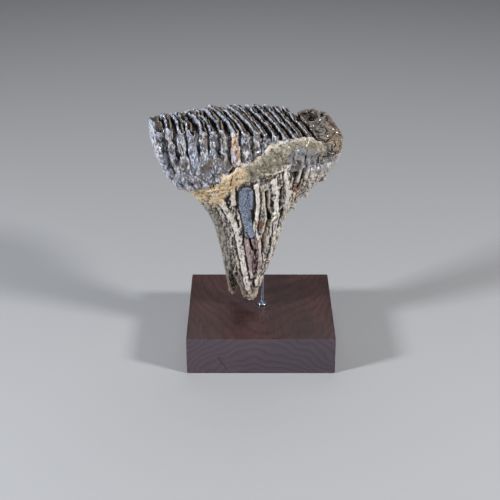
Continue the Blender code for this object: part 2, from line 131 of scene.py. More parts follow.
class Wire:
    """A shader socket. Sums of wires add Math nodes, and node() adds a node of any kind."""

    def __init__(self, tree, socket=None):
        self.tree = tree
        self.socket = socket

    def node(self, kind, settings, inputs, output=0):
        made = self.tree.nodes.new(kind)
        for name, value in settings.items():
            setattr(made, name, value)
        for name, value in inputs.items():
            if isinstance(value, Wire):
                self.tree.links.new(value.socket, made.inputs[name])
            else:
                made.inputs[name].default_value = value
        return Wire(self.tree, made.outputs[output])

    def maths(self, operation, *values):
        return self.node("ShaderNodeMath", {"operation": operation}, dict(enumerate(values)))

    def __add__(self, other):
        return self.maths("ADD", self, other)

    def __sub__(self, other):
        return self.maths("SUBTRACT", self, other)

    def __rsub__(self, other):
        return self.maths("SUBTRACT", other, self)

    def __mul__(self, other):
        return self.maths("MULTIPLY", self, other)

    __radd__ = __add__
    __rmul__ = __mul__


def new_finish(name, **constants):
    """A material, the wire to build its nodes from, and a way to feed its shader."""
    material = bpy.data.materials.new(name)
    material.use_nodes = True
    tree = material.node_tree
    shader = tree.nodes["Principled BSDF"]
    for socket, value in constants.items():
        shader.inputs[socket.replace("_", " ").title().replace("Ior", "IOR")].default_value = value

    def feed(socket, wire):
        tree.links.new(wire.socket, shader.inputs[socket])

    return material, Wire(tree), feed


def places(wire, scale=(1.0, 1.0, 1.0), turn=(0.0, 0.0, 0.0), shift=(0.0, 0.0, 0.0)):
    """The object's own coordinates, moved, turned and stretched for a pattern."""
    own = wire.node("ShaderNodeTexCoord", {}, {}, "Object")
    inputs = {"Vector": own, "Location": shift, "Rotation": turn, "Scale": scale}
    return wire.node("ShaderNodeMapping", {"vector_type": "POINT"}, inputs)


def clouds(place, size, detail=3.0, roughness=0.5, distortion=0.0):
    """Soft noise with lumps of about that size, from 0 to 1."""
    inputs = {"Vector": place, "Scale": 1.0 / size, "Detail": detail}
    inputs.update({"Roughness": roughness, "Distortion": distortion})
    return place.node("ShaderNodeTexNoise", {}, inputs)


def between(value, low, high):
    """0 below low and 1 above high, with a soft step between them."""
    inputs = {"Value": value, "From Min": low, "From Max": high, "To Min": 0.0, "To Max": 1.0}
    return value.node("ShaderNodeMapRange", {"interpolation_type": "SMOOTHSTEP"}, inputs)


def tint(below, above, share):
    """One colour laid over another by a share. The share or the colour below is a wire."""
    source = share if isinstance(share, Wire) else below
    return source.node("ShaderNodeMix", {"data_type": "RGBA"}, {0: share, 6: below, 7: above}, 2)


def coats(colour, *layers):
    """A first colour with others laid over it in turn, each by its share."""
    for above, share in layers:
        colour = tint(colour, above, share)
    return colour


def raised(height, depth):
    """The bump of a height from 0 to 1 that stands for that depth."""
    return height.node("ShaderNodeBump", {}, {"Height": height, "Distance": depth, "Strength": 1.0})


def pick(*things):
    """Leaves only these selected, the first of them active."""
    bpy.ops.object.select_all(action="DESELECT")
    for thing in things:
        thing.select_set(True)
    bpy.context.view_layer.objects.active = things[0]


def apply_all(thing):
    """Applies the modifiers in turn, and leaves the thing picked."""
    pick(thing)
    for modifier in list(thing.modifiers):
        bpy.ops.object.modifier_apply(modifier=modifier.name)


def close_shell(thing, merge=0.0):
    """Turns the faces outwards, once doubles within the merging distance are gone."""
    pick(thing)
    bpy.ops.object.mode_set(mode="EDIT")
    bpy.ops.mesh.select_all(action="SELECT")
    if merge:
        bpy.ops.mesh.remove_doubles(threshold=merge)
    bpy.ops.mesh.normals_make_consistent(inside=False)
    bpy.ops.object.mode_set(mode="OBJECT")


def round_bar(radius, depth, middle, sides):
    """An upright cylinder, as stock or as a drill."""
    bpy.ops.mesh.primitive_cylinder_add(vertices=sides, radius=radius, depth=depth, location=middle)
    return bpy.context.object


def ease_edges(thing, width, segments, sharper_than=30.0):
    """Rounds the edges that are sharper than the angle."""
    eased = thing.modifiers.new("eased edges", "BEVEL")
    eased.width = width
    eased.segments = segments
    eased.limit_method = "ANGLE"
    eased.angle_limit = math.radians(sharper_than)
    apply_all(thing)


def carve(thing, cutter):
    """Cuts the cutter's shape out of the thing, and clears the cutter away."""
    cut = thing.modifiers.new("cut", "BOOLEAN")
    cut.object = cutter
    apply_all(thing)
    bpy.data.objects.remove(cutter, do_unlink=True)


def make_walnut():
    """Oiled walnut: year rings round the heart, fibres and pores along it, paler end grain with a painted
    sheen of bluish light.
    """
    material, wire, feed = new_finish("walnut", roughness=0.42, coat_weight=0.15, coat_roughness=0.3)
    sway = clouds(places(wire, (1.0, 0.35, 1.0)), 0.045, 2.0)
    log = places(wire, turn=(-PITH_RISE, 0.0, 0.0), shift=pith_shift())
    away = log.node("ShaderNodeVectorMath", {"operation": "MULTIPLY"}, {0: log, 1: (1.0, 0.0, 1.0)})
    radius = away.node("ShaderNodeVectorMath", {"operation": "LENGTH"}, {0: away}, "Value")
    fine_sway = clouds(places(wire, (1.0, 0.2, 1.0)), 0.012, 2.0)
    turns = (radius + sway * 0.030 + fine_sway * 0.0035) * (1.0 / RING_WIDTH)
    year = turns.maths("FRACT", turns)
    late = between(year, 0.35, 0.95) - between(year, 0.95, 1.0)
    wide = clouds(places(wire, (1.0, 0.25, 1.0)), 0.05, 3.0)
    fibre = clouds(places(wire, (1.0, 0.03, 1.0)), 0.0011, 3.0, 0.6)
    pores = between(clouds(places(wire, (1.0, 0.09, 1.0)), 0.0009, 1.0), 0.60, 0.72)
    facing = wire.node("ShaderNodeNewGeometry", {}, {}, "Normal")
    split = facing.node("ShaderNodeSeparateXYZ", {}, {0: facing}, "Y")
    end_on = between(split.maths("ABSOLUTE", split), 0.6, 0.9)
    colour = coats(
        WALNUT_LIGHT,
        (WALNUT_MIDDLE, between(wide, 0.35, 0.62)),
        (WALNUT_DARK, late * 0.42),
        (WALNUT_DARK, between(fibre, 0.45, 0.75) * 0.45),
        (WALNUT_DARK, pores * (1.0 - end_on * 0.4) * 0.7),
        # End grain faces: paler grain with a painted bluish sheen.
        (END_GRAIN_AND_SHEEN, end_on * (0.70 - late * 0.30)),
    )
    feed("Base Color", colour)
    feed("Roughness", 0.36 + fibre * 0.16 + end_on * 0.10)
    feed("Normal", raised(0.6 - pores * 0.5 + fibre * 0.3 - late * 0.1, 0.00012))
    return material


def pith_shift():
    """The move that brings the tree's heart, on the block's front, to the pattern's origin."""
    turn = Vector(PITH_AT)
    c, s = math.cos(-PITH_RISE), math.sin(-PITH_RISE)
    return (-turn.x, -(turn.y * c - turn.z * s), -(turn.y * s + turn.z * c))


low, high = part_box("stand_base")
bpy.ops.mesh.primitive_cube_add(size=1.0, location=(low + high) / 2)
block = bpy.context.object
block.name = "walnut_block"
block.scale = high - low
pick(block)
bpy.ops.object.transform_apply(location=True, rotation=True, scale=True)
ease_edges(block, EDGE_EASE, EDGE_STEPS)

drill_length = HOLE_DEPTH + DRILL_OVER
drill_middle = (*ROD_MIDDLE, high.z + DRILL_OVER - drill_length / 2)
carve(block, round_bar(HOLE_RADIUS, drill_length, drill_middle, HOLE_SIDES))

crack_points = []
for step, (x, z) in enumerate(CRACK):
    open_half = CRACK_WIDTH / 2 * math.sin(math.pi * (step + 0.5) / len(CRACK))
    crack_points += [(x - open_half, low.y - CRACK_OVER, z), (x + open_half, low.y - CRACK_OVER, z)]
    crack_points.append((x + CRACK_SLANT, low.y + CRACK_DEPTH, z))
crack_end = len(crack_points)
crack_faces = [(0, 1, 2), (crack_end - 1, crack_end - 2, crack_end - 3)]
for step in range(len(CRACK) - 1):
    a = step * 3
    crack_faces += [(a, a + 3, a + 4, a + 1), (a + 1, a + 4, a + 5, a + 2), (a + 2, a + 5, a + 3, a)]
crack_mesh = bpy.data.meshes.new("crack")
crack_mesh.from_pydata(crack_points, [], crack_faces)
crack = bpy.data.objects.new("crack", crack_mesh)
bpy.context.collection.objects.link(crack)
close_shell(crack)
carve(block, crack)
pick(block)
bpy.ops.object.shade_smooth_by_angle(angle=FLAT_PAST)
block.data.materials.clear()
block.data.materials.append(make_walnut())
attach(block, "root")
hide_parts("stand_base")

# Rod and collar: a drawn steel rod stands in the block and in the hole under the tooth, with
# a turned steel ring lying round its foot. Both are bright, with fine marks round them.
ROUND_SIDES = 96
ROD_TURNING = 0.0004
ROD_TURNS = 3
RING_EDGE = 0.0007
EDGE_TURNS = 4
RING_SHARP = 60.0
TURNED_FLAT = math.radians(30.0)
STEEL = (0.46, 0.53, 0.64, 1.0)
DRAWN = {"roughness": 0.30, "grain": (1.0, 1.0, 0.04)}
TURNED = {"roughness": 0.24, "grain": (0.1, 0.1, 1.0)}


def make_steel(name, roughness, grain):
    """Steel with faint marks along its grain, and a little dust."""
    material, wire, feed = new_finish(name, metallic=1.0, base_color=STEEL)
    marks = clouds(places(wire, grain), 0.0008, 2.0)
    dust = between(clouds(places(wire), 0.006, 4.0), 0.5, 0.75)
    feed("Roughness", roughness + marks * 0.06 + dust * 0.10)
    return material


def finish_piece(thing, name, material, slot, *nodes):
    """Names a piece, gives it its material and ties it to the part."""
    thing.name = name
    thing.data.name = name
    thing.data.materials.clear()
    thing.data.materials.append(material)
    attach(thing, "root")
    if nodes:
        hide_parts(*nodes)


low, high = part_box("stand_rod")
rod = round_bar((high.x - low.x) / 2, high.z - low.z, (low + high) / 2, ROUND_SIDES)
ease_edges(rod, ROD_TURNING, ROD_TURNS)
bpy.ops.object.transform_apply(location=True, rotation=True, scale=True)
bpy.ops.object.shade_smooth_by_angle(angle=TURNED_FLAT)
finish_piece(rod, "steel_rod", make_steel("drawn steel", **DRAWN), "steel", "stand_rod")

low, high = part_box("stand_collar")
ring_middle = (low + high) / 2
collar = round_bar((high.x - low.x) / 2, high.z - low.z, ring_middle, ROUND_SIDES)
carve(collar, round_bar(HOLE_RADIUS, DRILL_OVER, ring_middle, ROUND_SIDES))
ease_edges(collar, RING_EDGE, EDGE_TURNS, RING_SHARP)
bpy.ops.object.transform_apply(location=True, rotation=True, scale=True)
bpy.ops.object.shade_smooth_by_angle(angle=TURNED_FLAT)
finish_piece(collar, "steel_collar", make_steel("turned steel", **TURNED), "steel", "stand_collar")

# Roots and cement: the neck, both roots and the collar of cement round the plates' feet are
# one weathered piece. It is furrowed lengthwise, worn open at the root canal, and its cement
# ends in a ragged edge that climbs to the right.
MM = 0.001
DOUBLES = 0.00001
VOXEL = 0.00095
SOFTENING = 6
ROOT_LAP = 0.003
ROOT_TOP_WITHIN = 0.0002
LOBE_SIDES = 24
LOBE_RINGS = 16
# The tooth's body by height: its left and right edges, half depth, turn in degrees and squareness
LEFT_EDGE = (
    (54, -35.5), (79, -38.8), (104, -42.8), (130, -48.0), (155, -59.0),
    (179, -78.0), (203, -99.5), (226, -110.0), (249, -113.5), (272, -110.0),
)
RIGHT_EDGE = (
    (58, 3.0), (81, 8.0), (102, 16.0), (126, 22.8), (142, 26.5),
    (155, 38.5), (172, 53.0), (189, 73.0), (206, 83.0), (228, 84.5), (272, 76.0),
)
HALF_DEPTH = (
    (54, 16.0), (84, 21.0), (104, 25.0), (127, 28.5), (150, 32.0),
    (172, 35.0), (194, 37.0), (216, 38.0), (240, 37.0), (272, 33.0),
)
TURN = ((60, 0.0), (110, 4.0), (150, 10.0), (180, 16.0), (200, 18.0), (272, 18.0))
SQUARENESS = ((60, 2.0), (130, 2.1), (180, 2.4), (220, 2.8), (272, 2.9))
TABLE_HEIGHTS = np.arange(40.0, 280.0, 0.5)
RING_START = 220.0
RING_ROUNDS = 6
CUT_HEIGHT = 197.0
CUT_SLOPE = 0.13
WEAR = {"height": 253.4, "slope": -0.150, "bend": -0.00113, "tilt": 0.10, "twist": 0.0019}

# The ragged upper edge of the cement along the front and along the back, as x and height
FRONT_EDGE = (
    (-104, 190), (-85, 193), (-68, 196), (-51, 197), (-49, 206), (-33, 207), (-24, 216),
    (-11, 218), (0, 225), (8, 234), (37, 237), (49, 235), (58, 230), (90, 222),
)
BACK_EDGE = ((-104, 196), (-60, 206), (-20, 214), (20, 220), (60, 224), (90, 222))
SIDE_BLEND = 30.0
# The band of cement: how deep it starts under the crown's cut, how far it stands proud and from
# and to where, its lap into the neck, its turned-in top and its ragged edge as depth and size
BAND_SINK = 10.0
BAND_PROUD = 2.2
BAND_PROUD_FROM = (-48.0, 25.0)
BAND_PROUD_TO = (62.0, 20.0)
BAND_LAP = 1.5
BAND_TURN_IN = 4.5
BAND_RAGGED = ((1.6, 9.0), (1.0, 3.0))
BAND_SIDES = 420
BAND_RINGS = 40

# Clefts and cracks in the front: points (x, height), half width and depth
CLEFTS = (
    (((6.5, 181), (8, 166), (9.2, 148), (8, 138), (4.5, 127), (3, 110)), 2.3, 6.0),
    (((6, 132), (4, 124)), 2.6, 4.0),
    (((-14, 137), (-11, 127), (-7.5, 114)), 1.7, 4.0),
    (((22, 184), (21.5, 172), (19.5, 156)), 1.8, 5.0),
    (((-24, 192), (-24.5, 176), (-20, 156), (-16, 140)), 1.0, 2.0),
    (((33, 216), (31, 200), (30, 184)), 1.3, 3.2),
    (((45, 216), (44, 198), (40, 178)), 1.5, 3.2),
    (((-6, 150), (-5, 132), (-2, 112), (-3, 88)), 0.9, 1.6),
    (((13, 140), (11, 118), (7, 96)), 1.0, 1.8),
    (((-33, 150), (-27, 128), (-24, 104), (-20, 80)), 1.0, 1.4),
    (((-49, 207), (-49, 199), (-46, 190)), 0.6, 1.5),
    (((-28, 207), (-30, 197), (-30.5, 184)), 0.6, 1.5),
    (((0.5, 222), (3, 216), (6, 211)), 0.6, 1.6),
)
# Ribs that stand out between them: points, half width and height
RIBS = (
    (((-46, 182), (-38, 167), (-31, 152), (-26, 138), (-21, 112), (-17.5, 90), (-14, 66)), 5.0, 3.0),
    (((-4.5, 190), (-2.5, 168), (-6.5, 140), (-1.5, 121), (0.5, 98), (-3, 70)), 3.6, 3.2),
    (((14, 192), (15, 178), (17.5, 157), (14.5, 127), (9.5, 100)), 4.6, 3.4),
    (((24.5, 206), (27, 186), (25, 162)), 2.8, 2.8),
    (((40, 221), (41, 204), (36, 184)), 2.6, 2.6),
    (((49, 225), (49, 204), (46, 190)), 2.6, 2.6),
    (((-62, 172), (-50, 150), (-43, 120), (-38, 90)), 7.0, 2.4),
    (((-30, 200), (-28, 186), (-27, 170)), 4.0, 2.6),
    (((12, 150), (10, 130), (6, 110), (4, 90)), 3.0, 2.4),
    (((-14, 120), (-12, 100), (-9, 80)), 3.0, 2.0),
    (((31, 176), (25, 150), (20, 126)), 4.0, 3.0),
)
# Ground between the ribs, the most that the noises wear, and the lip under the olive cement
GROUND_DEPTH = 2.6
DEEPEST = 3.2
LIP_HEIGHT = 1.1
LIP_HALF = 1.8
WAY_ROUNDS = 23
# Noises that wear the surface, in mm: size, octaves, shift and how far each axis is drawn out
SWELL = (12.0, 2, 7.0, (1.0, 1.0, 2.5))
FLUTES = (4.5, 3, 4.0, (1.0, 1.0, 4.0))
KNOTS = (4.0, 3, 8.0, (1.0, 1.0, 2.4))
ROLLS = (8.0, 3, 8.0)
PITTING = (3.0, 2, 21.0)
GRAIN = (1.5, 2, 5.0)
PEBBLES = (1.9, 2, 12.0)
SIDE_WANDER = (6.0, 3, 1.0)
UP_WANDER = (6.0, 2, 30.0)
WANDER = 0.8
# Winding lines, with their half width after the size
FURROWS = (9.0, 0.20, 2, 3.0, (1.0, 1.0, 5.0))
FINE_FURROWS = (3.4, 0.22, 2, 9.0, (1.0, 1.0, 3.0))
CRAZING = (5.0, 0.10, 2, 15.0)
# How deep each of them wears, in mm
SKIN_DEPTHS = (0.4, 0.9)
FURROW_DEPTH = 1.4
FINE_FURROW_DEPTH = 0.9
FLUTE_DEPTH = 1.7
KNOT_DEPTH = 1.1
CRAZING_DEPTH = 0.5
PITTING_DEPTH = 1.3
ROLL_DEPTH = 2.0
GRAIN_DEPTH = 0.30
CANAL_DEPTHS = (1.7, 0.5, 0.4)
# Tops of the roots, the ground between the ribs, the green flank and the tips, as the height at
# x = 0, its rise with x and its fade
ROOT_TOP = (200.0, 0.20, 25.0)
SHELF = (206.0, 0.25, 14.0)
FLANK_TOP = (178.0, 0.0, 20.0)
TIP_TOP = (74.0, 0.0, 16.0)
# The two thin outer edges keep most of their width: where they start, their fade and their top
RIGHT_KEPT = (44.0, 8.0, (204.0, 0.0, 6.0))
LEFT_KEPT = (-74.0, 6.0, (200.0, 0.0, 6.0))
KEPT_SHARE = 0.65
# Broad grooves of the front that are nearly level with flaked bone, half width and filling
FILLS = (
    (((17, 178), (7, 100)), 4.5, 4.6),
    (((-13, 142), (-5, 116)), 4.0, 2.4),
    (((-31, 116), (-29, 84)), 4.5, 3.4),
    (((33, 196), (24, 160)), 4.0, 2.8),
)
# The worn-open canal, the hollow among the rootlets and the split under the heel, as points
# (x, height), half width and depth
BASINS = (
    (((-14.5, 182), (-15.0, 166)), 8.8, 1.6),
    (((36, 208), (36, 198)), 6.5, 3.0),
    (((37, 184), (37, 178)), 5.0, 2.0),
)
CANAL_FOOT = ((-15.0, 164), (-14.0, 150), (-12.5, 140), (-10.5, 133))
CANAL_FOOT_HALF = 5.5
# The lip's line, the red spots in the hollows, and the pale flakes along the first ribs
LOWER_LINE = ((0.5, 203), (13, 201), (24.5, 205), (32, 211), (37, 224))
RED_SPOTS = (((-1, 148), (-1, 142)), ((-1, 125), (-1, 119)), ((37, 184), (37, 176)))
RED_HALF = 4.2
FLAKED_RIBS = 4
FLAKES_WIDER = 3.5
COLLAR_REACH = 14.0
# Patches of colour on the front: the line they follow, how far they reach and how full they are.
# The glaze is a glossy grey hollow between the cement and the heel.
PATCHES = {
    "collar": (((-76, 190), (-62, 183), (-48, 178), (-40, 190), (-26, 203)), 15.0, 2.0),
    "olive": (((-8, 208), (6, 214), (22, 221), (45, 226), (60, 219)), 14.0, 2.0),
    "glaze": (((38, 215), (50, 208), (64, 203), (78, 211)), 15.0, 2.0),
    "purple": (((-11, 126), (-8, 110), (-6, 94)), 9.0, 2.2),
}
# Hollows of three sizes, as rounds of averaging and the depth in mm that counts as full
HOLLOWS = {"hollow": (3, 0.18), "deep": (12, 0.7), "wide": (66, 2.4)}
# Broken ends of the rootlets along the lower right edge, as middle and half sizes
LOBES = (
    ((63.5, 2.5, 189.0), (4.2, 5.0, 7.5)),
    ((53.5, 10.3, 178.5), (4.0, 4.5, 5.5)),
    ((46.0, 7.8, 166.5), (3.4, 4.0, 5.5)),
    ((34.5, 4.5, 154.0), (3.4, 4.0, 5.5)),
    ((72.8, 23.3, 195.5), (4.0, 5.0, 5.5)),
)

ROOT_BROWN = (0.200, 0.145, 0.100, 1.0)
ROOT_GREY = (0.230, 0.235, 0.255, 1.0)
BONE_CREAM = (0.730, 0.660, 0.570, 1.0)
# Pale bone of the flaked ribs. On the plates' walls it is a painted glint.
BONE_WHITE_AND_GLINT = (0.800, 0.775, 0.760, 1.0)
CEMENT_YELLOW = (0.700, 0.555, 0.345, 1.0)
CEMENT_RUST = (0.520, 0.280, 0.105, 1.0)
OLIVE = (0.190, 0.165, 0.110, 1.0)
CANAL_GREY = (0.340, 0.420, 0.570, 1.0)
PURPLE_BROWN = (0.310, 0.205, 0.215, 1.0)
RED_BROWN = (0.230, 0.095, 0.055, 1.0)
# Greenish brown of the left flank, made darker as painted shade.
FLANK_GREEN_AND_SHADE = (0.095, 0.086, 0.064, 1.0)
GLAZE_GREY = (0.200, 0.215, 0.260, 1.0)
# Near black, for the dark of the grain and of the canal's grit, and for painted shade in hollows, clefts and
# crevices.
DARK_TONE_AND_SHADE = (0.020, 0.014, 0.010, 1.0)
TIP_GOLD = (0.300, 0.190, 0.085, 1.0)


def mix(low, high, share):
    """A value between low and high."""
    return low + (high - low) * share


def ease(share):
    """0 to 1 with level ends."""
    share = np.clip(share, 0.0, 1.0)
    return share * share * (3.0 - 2.0 * share)


def along(table):
    """A table's smooth curve, read at every half millimetre of height."""
    heights, values = np.array(table, float).T
    slopes = np.gradient(values, heights, edge_order=1)
    steep = (values[2:] - values[:-2]) / (heights[2:] - heights[:-2])
    slopes[1:-1] = steep
    at = np.clip(np.searchsorted(heights, TABLE_HEIGHTS) - 1, 0, len(heights) - 2)
    span = heights[at + 1] - heights[at]
    t = np.clip((TABLE_HEIGHTS - heights[at]) / span, 0.0, 1.0)
    curve = (2 * t**3 - 3 * t**2 + 1) * values[at] + (t**3 - 2 * t**2 + t) * span * slopes[at]
    return curve + (3 * t**2 - 2 * t**3) * values[at + 1] + (t**3 - t**2) * span * slopes[at + 1]


CURVES = [along(table) for table in (LEFT_EDGE, RIGHT_EDGE, HALF_DEPTH, TURN, SQUARENESS)]


def section(height):
    """The body's outline at a height: middle x, half length, half depth, turn and power."""
    left, right, depth, turn, power = (np.interp(height, TABLE_HEIGHTS, curve) for curve in CURVES)
    turn = np.radians(turn)
    dual = power / (power - 1.0)
    across = ((right - left) / 2) ** dual - (depth * np.sin(turn)) ** dual
    return (left + right) / 2, across ** (1 / dual) / np.cos(turn), depth, turn, power


def to_world(height, s, u):
    """x and y of a point s along the body and u across it."""
    middle, _, _, turn, _ = section(height)
    return middle + s * np.cos(turn) - u * np.sin(turn), s * np.sin(turn) + u * np.cos(turn)


def wear(s, u):
    """Height of the chewing surface."""
    arc = WEAR["height"] + WEAR["slope"] * s + WEAR["bend"] * s * s
    return arc + (WEAR["tilt"] + WEAR["twist"] * s) * u


def crown_cut(x):
    """Height of the cut between the crown and the neck."""
    return CUT_HEIGHT + CUT_SLOPE * x


def body_ring(angles, height_rule, inset=0.0, scale=1.0):
    """A ring of points on the body's wall. height_rule gives their heights from x, y, s and u,
    and inset is how far they lie inside it, as a length or as a rule on x, y and height."""
    height = np.full(len(angles), RING_START)
    inside = 0.0 if callable(inset) else inset
    for _ in range(RING_ROUNDS):
        _, length, depth, _, power = section(height)
        c, k = np.cos(angles), np.sin(angles)
        s = np.sign(c) * np.abs(c) ** (2 / power) * (length - inside) * scale
        u = np.sign(k) * np.abs(k) ** (2 / power) * (depth - inside) * scale
        x, y = to_world(height, s, u)
        height = height_rule(x, y, s, u)
        inside = inset(x, y, height) if callable(inset) else inset
    return np.stack([x, y, height], axis=1)


def skin(name, rings):
    """A closed mesh through rings of equal count, with both ends filled by fans."""
    rings = np.asarray(rings)
    count = rings.shape[1]
    points = rings.reshape(-1, 3)
    points = np.vstack([points, rings[0].mean(axis=0), rings[-1].mean(axis=0)])
    here = np.arange(count)
    after = (here + 1) % count
    faces = []
    for r in range(len(rings) - 1):
        low, high = r * count, (r + 1) * count
        faces += np.stack([low + here, low + after, high + after, high + here], axis=1).tolist()
    first, last = len(points) - 2, len(points) - 1
    faces += [(first, b, a) for a, b in zip(here.tolist(), after.tolist())]
    top = (len(rings) - 1) * count
    faces += [(last, top + a, top + b) for a, b in zip(here.tolist(), after.tolist())]
    mesh = bpy.data.meshes.new(name)
    mesh.from_pydata((points * MM).tolist(), [], faces)
    thing = bpy.data.objects.new(name, mesh)
    bpy.context.collection.objects.link(thing)
    return thing


def own_copy(node):
    """A merged copy of a node's mesh, as a piece of its own."""
    thing = bpy.data.objects.new(node + "_copy", bpy.data.objects[node].data.copy())
    bpy.context.collection.objects.link(thing)
    close_shell(thing, DOUBLES)
    return thing


def remesh(thing, voxel, smoothing):
    """Fuses all that overlaps in one fine even mesh, and softens its flat facets."""
    fuse = thing.modifiers.new("fuse", "REMESH")
    fuse.mode = "VOXEL"
    fuse.voxel_size = voxel
    soften = thing.modifiers.new("soften", "SMOOTH")
    soften.factor = 0.5
    soften.iterations = smoothing
    apply_all(thing)


def points_of(thing):
    """The mesh's points in millimetres."""
    flat = np.empty(len(thing.data.vertices) * 3)
    thing.data.vertices.foreach_get("co", flat)
    return flat.reshape(-1, 3) / MM


def normals_of(thing):
    """The outward direction at each point."""
    flat = np.empty(len(thing.data.vertices) * 3)
    thing.data.vertex_normals.foreach_get("vector", flat)
    return flat.reshape(-1, 3)


def move_points(thing, points):
    """Puts the mesh's points at these places in millimetres."""
    thing.data.vertices.foreach_set("co", (points * MM).ravel())
    thing.data.update()


def lumps(points, size, octaves=3, shift=0.0, stretch=(1.0, 1.0, 1.0)):
    """Noise from about -1 to 1, with lumps of that size, drawn out along an axis by stretch."""
    spots = (points / size / np.array(stretch) + shift).tolist()
    return np.array([noise.fractal(spot, 1.0, 2.0, octaves) for spot in spots])


def creases(points, size, width, octaves=2, shift=0.0, stretch=(1.0, 1.0, 1.0)):
    """Thin winding lines, 1 in their middle and 0 at their sides."""
    return 1.0 - ease(np.abs(lumps(points, size, octaves, shift, stretch)) / width)


def tops(values, lift=0.0):
    """The part of a noise above 0, once it is lifted."""
    return np.clip(values + lift, 0.0, 1.0)


def near_line(points, line, half_width):
    """1 on a line drawn on the front by x and height, down to 0 at half_width from it."""
    best = np.full(len(points), np.inf)
    at = points[:, [0, 2]]
    for start, end in zip(line, line[1:]):
        start, way = np.array(start, float), np.subtract(end, start)
        share = np.clip(((at - start) @ way) / max(way @ way, 1e-9), 0.0, 1.0)
        gap = np.linalg.norm(at - start - share[:, None] * way, axis=1)
        best = np.minimum(best, gap)
    return 1.0 - np.clip(best / half_width, 0.0, 1.0)


def mark(thing, name, values):
    """Keeps a value for each point under a name that the material reads."""
    layer = thing.data.attributes.new(name, "FLOAT", "POINT")
    layer.data.foreach_set("value", np.asarray(values, dtype=np.float32))


def mark_hollows(thing, sizes):
    """Marks how far each point lies in the hollows of each size."""
    for name, (rounds, depth) in sizes.items():
        mark(thing, name, hollows(thing, rounds, depth))


def marked(wire, *names):
    """Wires that read the values kept for each point."""
    return [wire.node("ShaderNodeAttribute", {"attribute_name": name}, {}, "Fac") for name in names]


def spread(thing, values, rounds):
    """Each point's three values, averaged with its neighbours' time after time."""
    edges = np.empty(len(thing.data.edges) * 2, dtype=np.int32)
    thing.data.edges.foreach_get("vertices", edges)
    a, b = edges.reshape(-1, 2).T
    count = len(values)
    degree = np.maximum(np.bincount(a, minlength=count) + np.bincount(b, minlength=count), 1)
    for _ in range(rounds):
        sums = [np.bincount(a, values[b, k], count) + np.bincount(b, values[a, k], count) for k in range(3)]
        values = (sums / degree).T
    return values


def hollows(thing, rounds, depth):
    """How far each point lies below its surroundings, from 0 to 1, and below 0 where it stands out."""
    points = points_of(thing)
    lift = spread(thing, points, rounds) - points
    return np.clip((lift * normals_of(thing)).sum(axis=1) / depth, -1.0, 1.0)


def on_front(normals):
    """1 where the surface faces the front and 0 where it faces the back."""
    return ease(-normals[:, 1] * 2.0)


def edge_height(points):
    """Height of the cement's ragged edge over each point."""
    front = np.interp(points[:, 0], *np.array(FRONT_EDGE, float).T)
    back = np.interp(points[:, 0], *np.array(BACK_EDGE, float).T)
    return mix(front, back, ease((points[:, 1] + SIDE_BLEND / 2) / SIDE_BLEND))


def cement_band():
    """The cement round the plates' feet, from under the neck's top up to its ragged edge."""
    angles = np.arange(BAND_SIDES) * 2 * math.pi / BAND_SIDES
    rings = []
    for r in range(BAND_RINGS):
        share = r / (BAND_RINGS - 1)

        def height_rule(x, y, s, u, share=share):
            spot = np.stack([x, y, np.zeros(len(x))], axis=1)
            coarse, fine = (depth * lumps(spot, size, 2) for depth, size in BAND_RAGGED)
            return mix(crown_cut(x) - BAND_SINK, edge_height(spot) + (coarse + fine), share)

        def inset_rule(x, y, z, share=share):
            proud = BAND_PROUD * ease((x - BAND_PROUD_FROM[0]) / BAND_PROUD_FROM[1])
            proud = proud * ease((BAND_PROUD_TO[0] - x) / BAND_PROUD_TO[1])
            return mix(BAND_LAP, -proud, float(ease(share * 1.15))) + BAND_TURN_IN * share**16

        rings.append(body_ring(angles, height_rule, inset_rule))
    return skin("cement_band", rings)


def fill_grooves(thing):
    """Brings the front's broad grooves nearly level."""
    points = points_of(thing)
    front = on_front(normals_of(thing))
    for line, half_width, filling in FILLS:
        points[:, 1] -= filling * ease(near_line(points, line, half_width)) * front
    move_points(thing, points)


def worn_skin(points, lower, rolls):
    """How deep its noises wear each point, where lower is 1 on the roots and 0 on the cement."""
    sink = mix(*SKIN_DEPTHS, lower) * (1.0 + lumps(points, *SWELL))
    lines = FURROW_DEPTH * creases(points, *FURROWS) + FINE_FURROW_DEPTH * creases(points, *FINE_FURROWS)
    sink = sink + lower * (lines + FLUTE_DEPTH * tops(lumps(points, *FLUTES), 0.2))
    sink = sink + lower * KNOT_DEPTH * tops(lumps(points, *KNOTS))
    cracks = CRAZING_DEPTH * creases(points, *CRAZING) + PITTING_DEPTH * tops(lumps(points, *PITTING), -0.2)
    sink = sink + (1.0 - lower) * (cracks + ROLL_DEPTH * tops(rolls, 0.2))
    sink = sink + GRAIN_DEPTH * np.clip(lumps(points, *GRAIN), -0.6, 1.0)
    return DEEPEST * np.tanh(sink / DEEPEST)


def below(x, z, line):
    """1 under a rising line and 0 over it."""
    height, rise, fade = line
    return ease((height + rise * x - z) / fade)


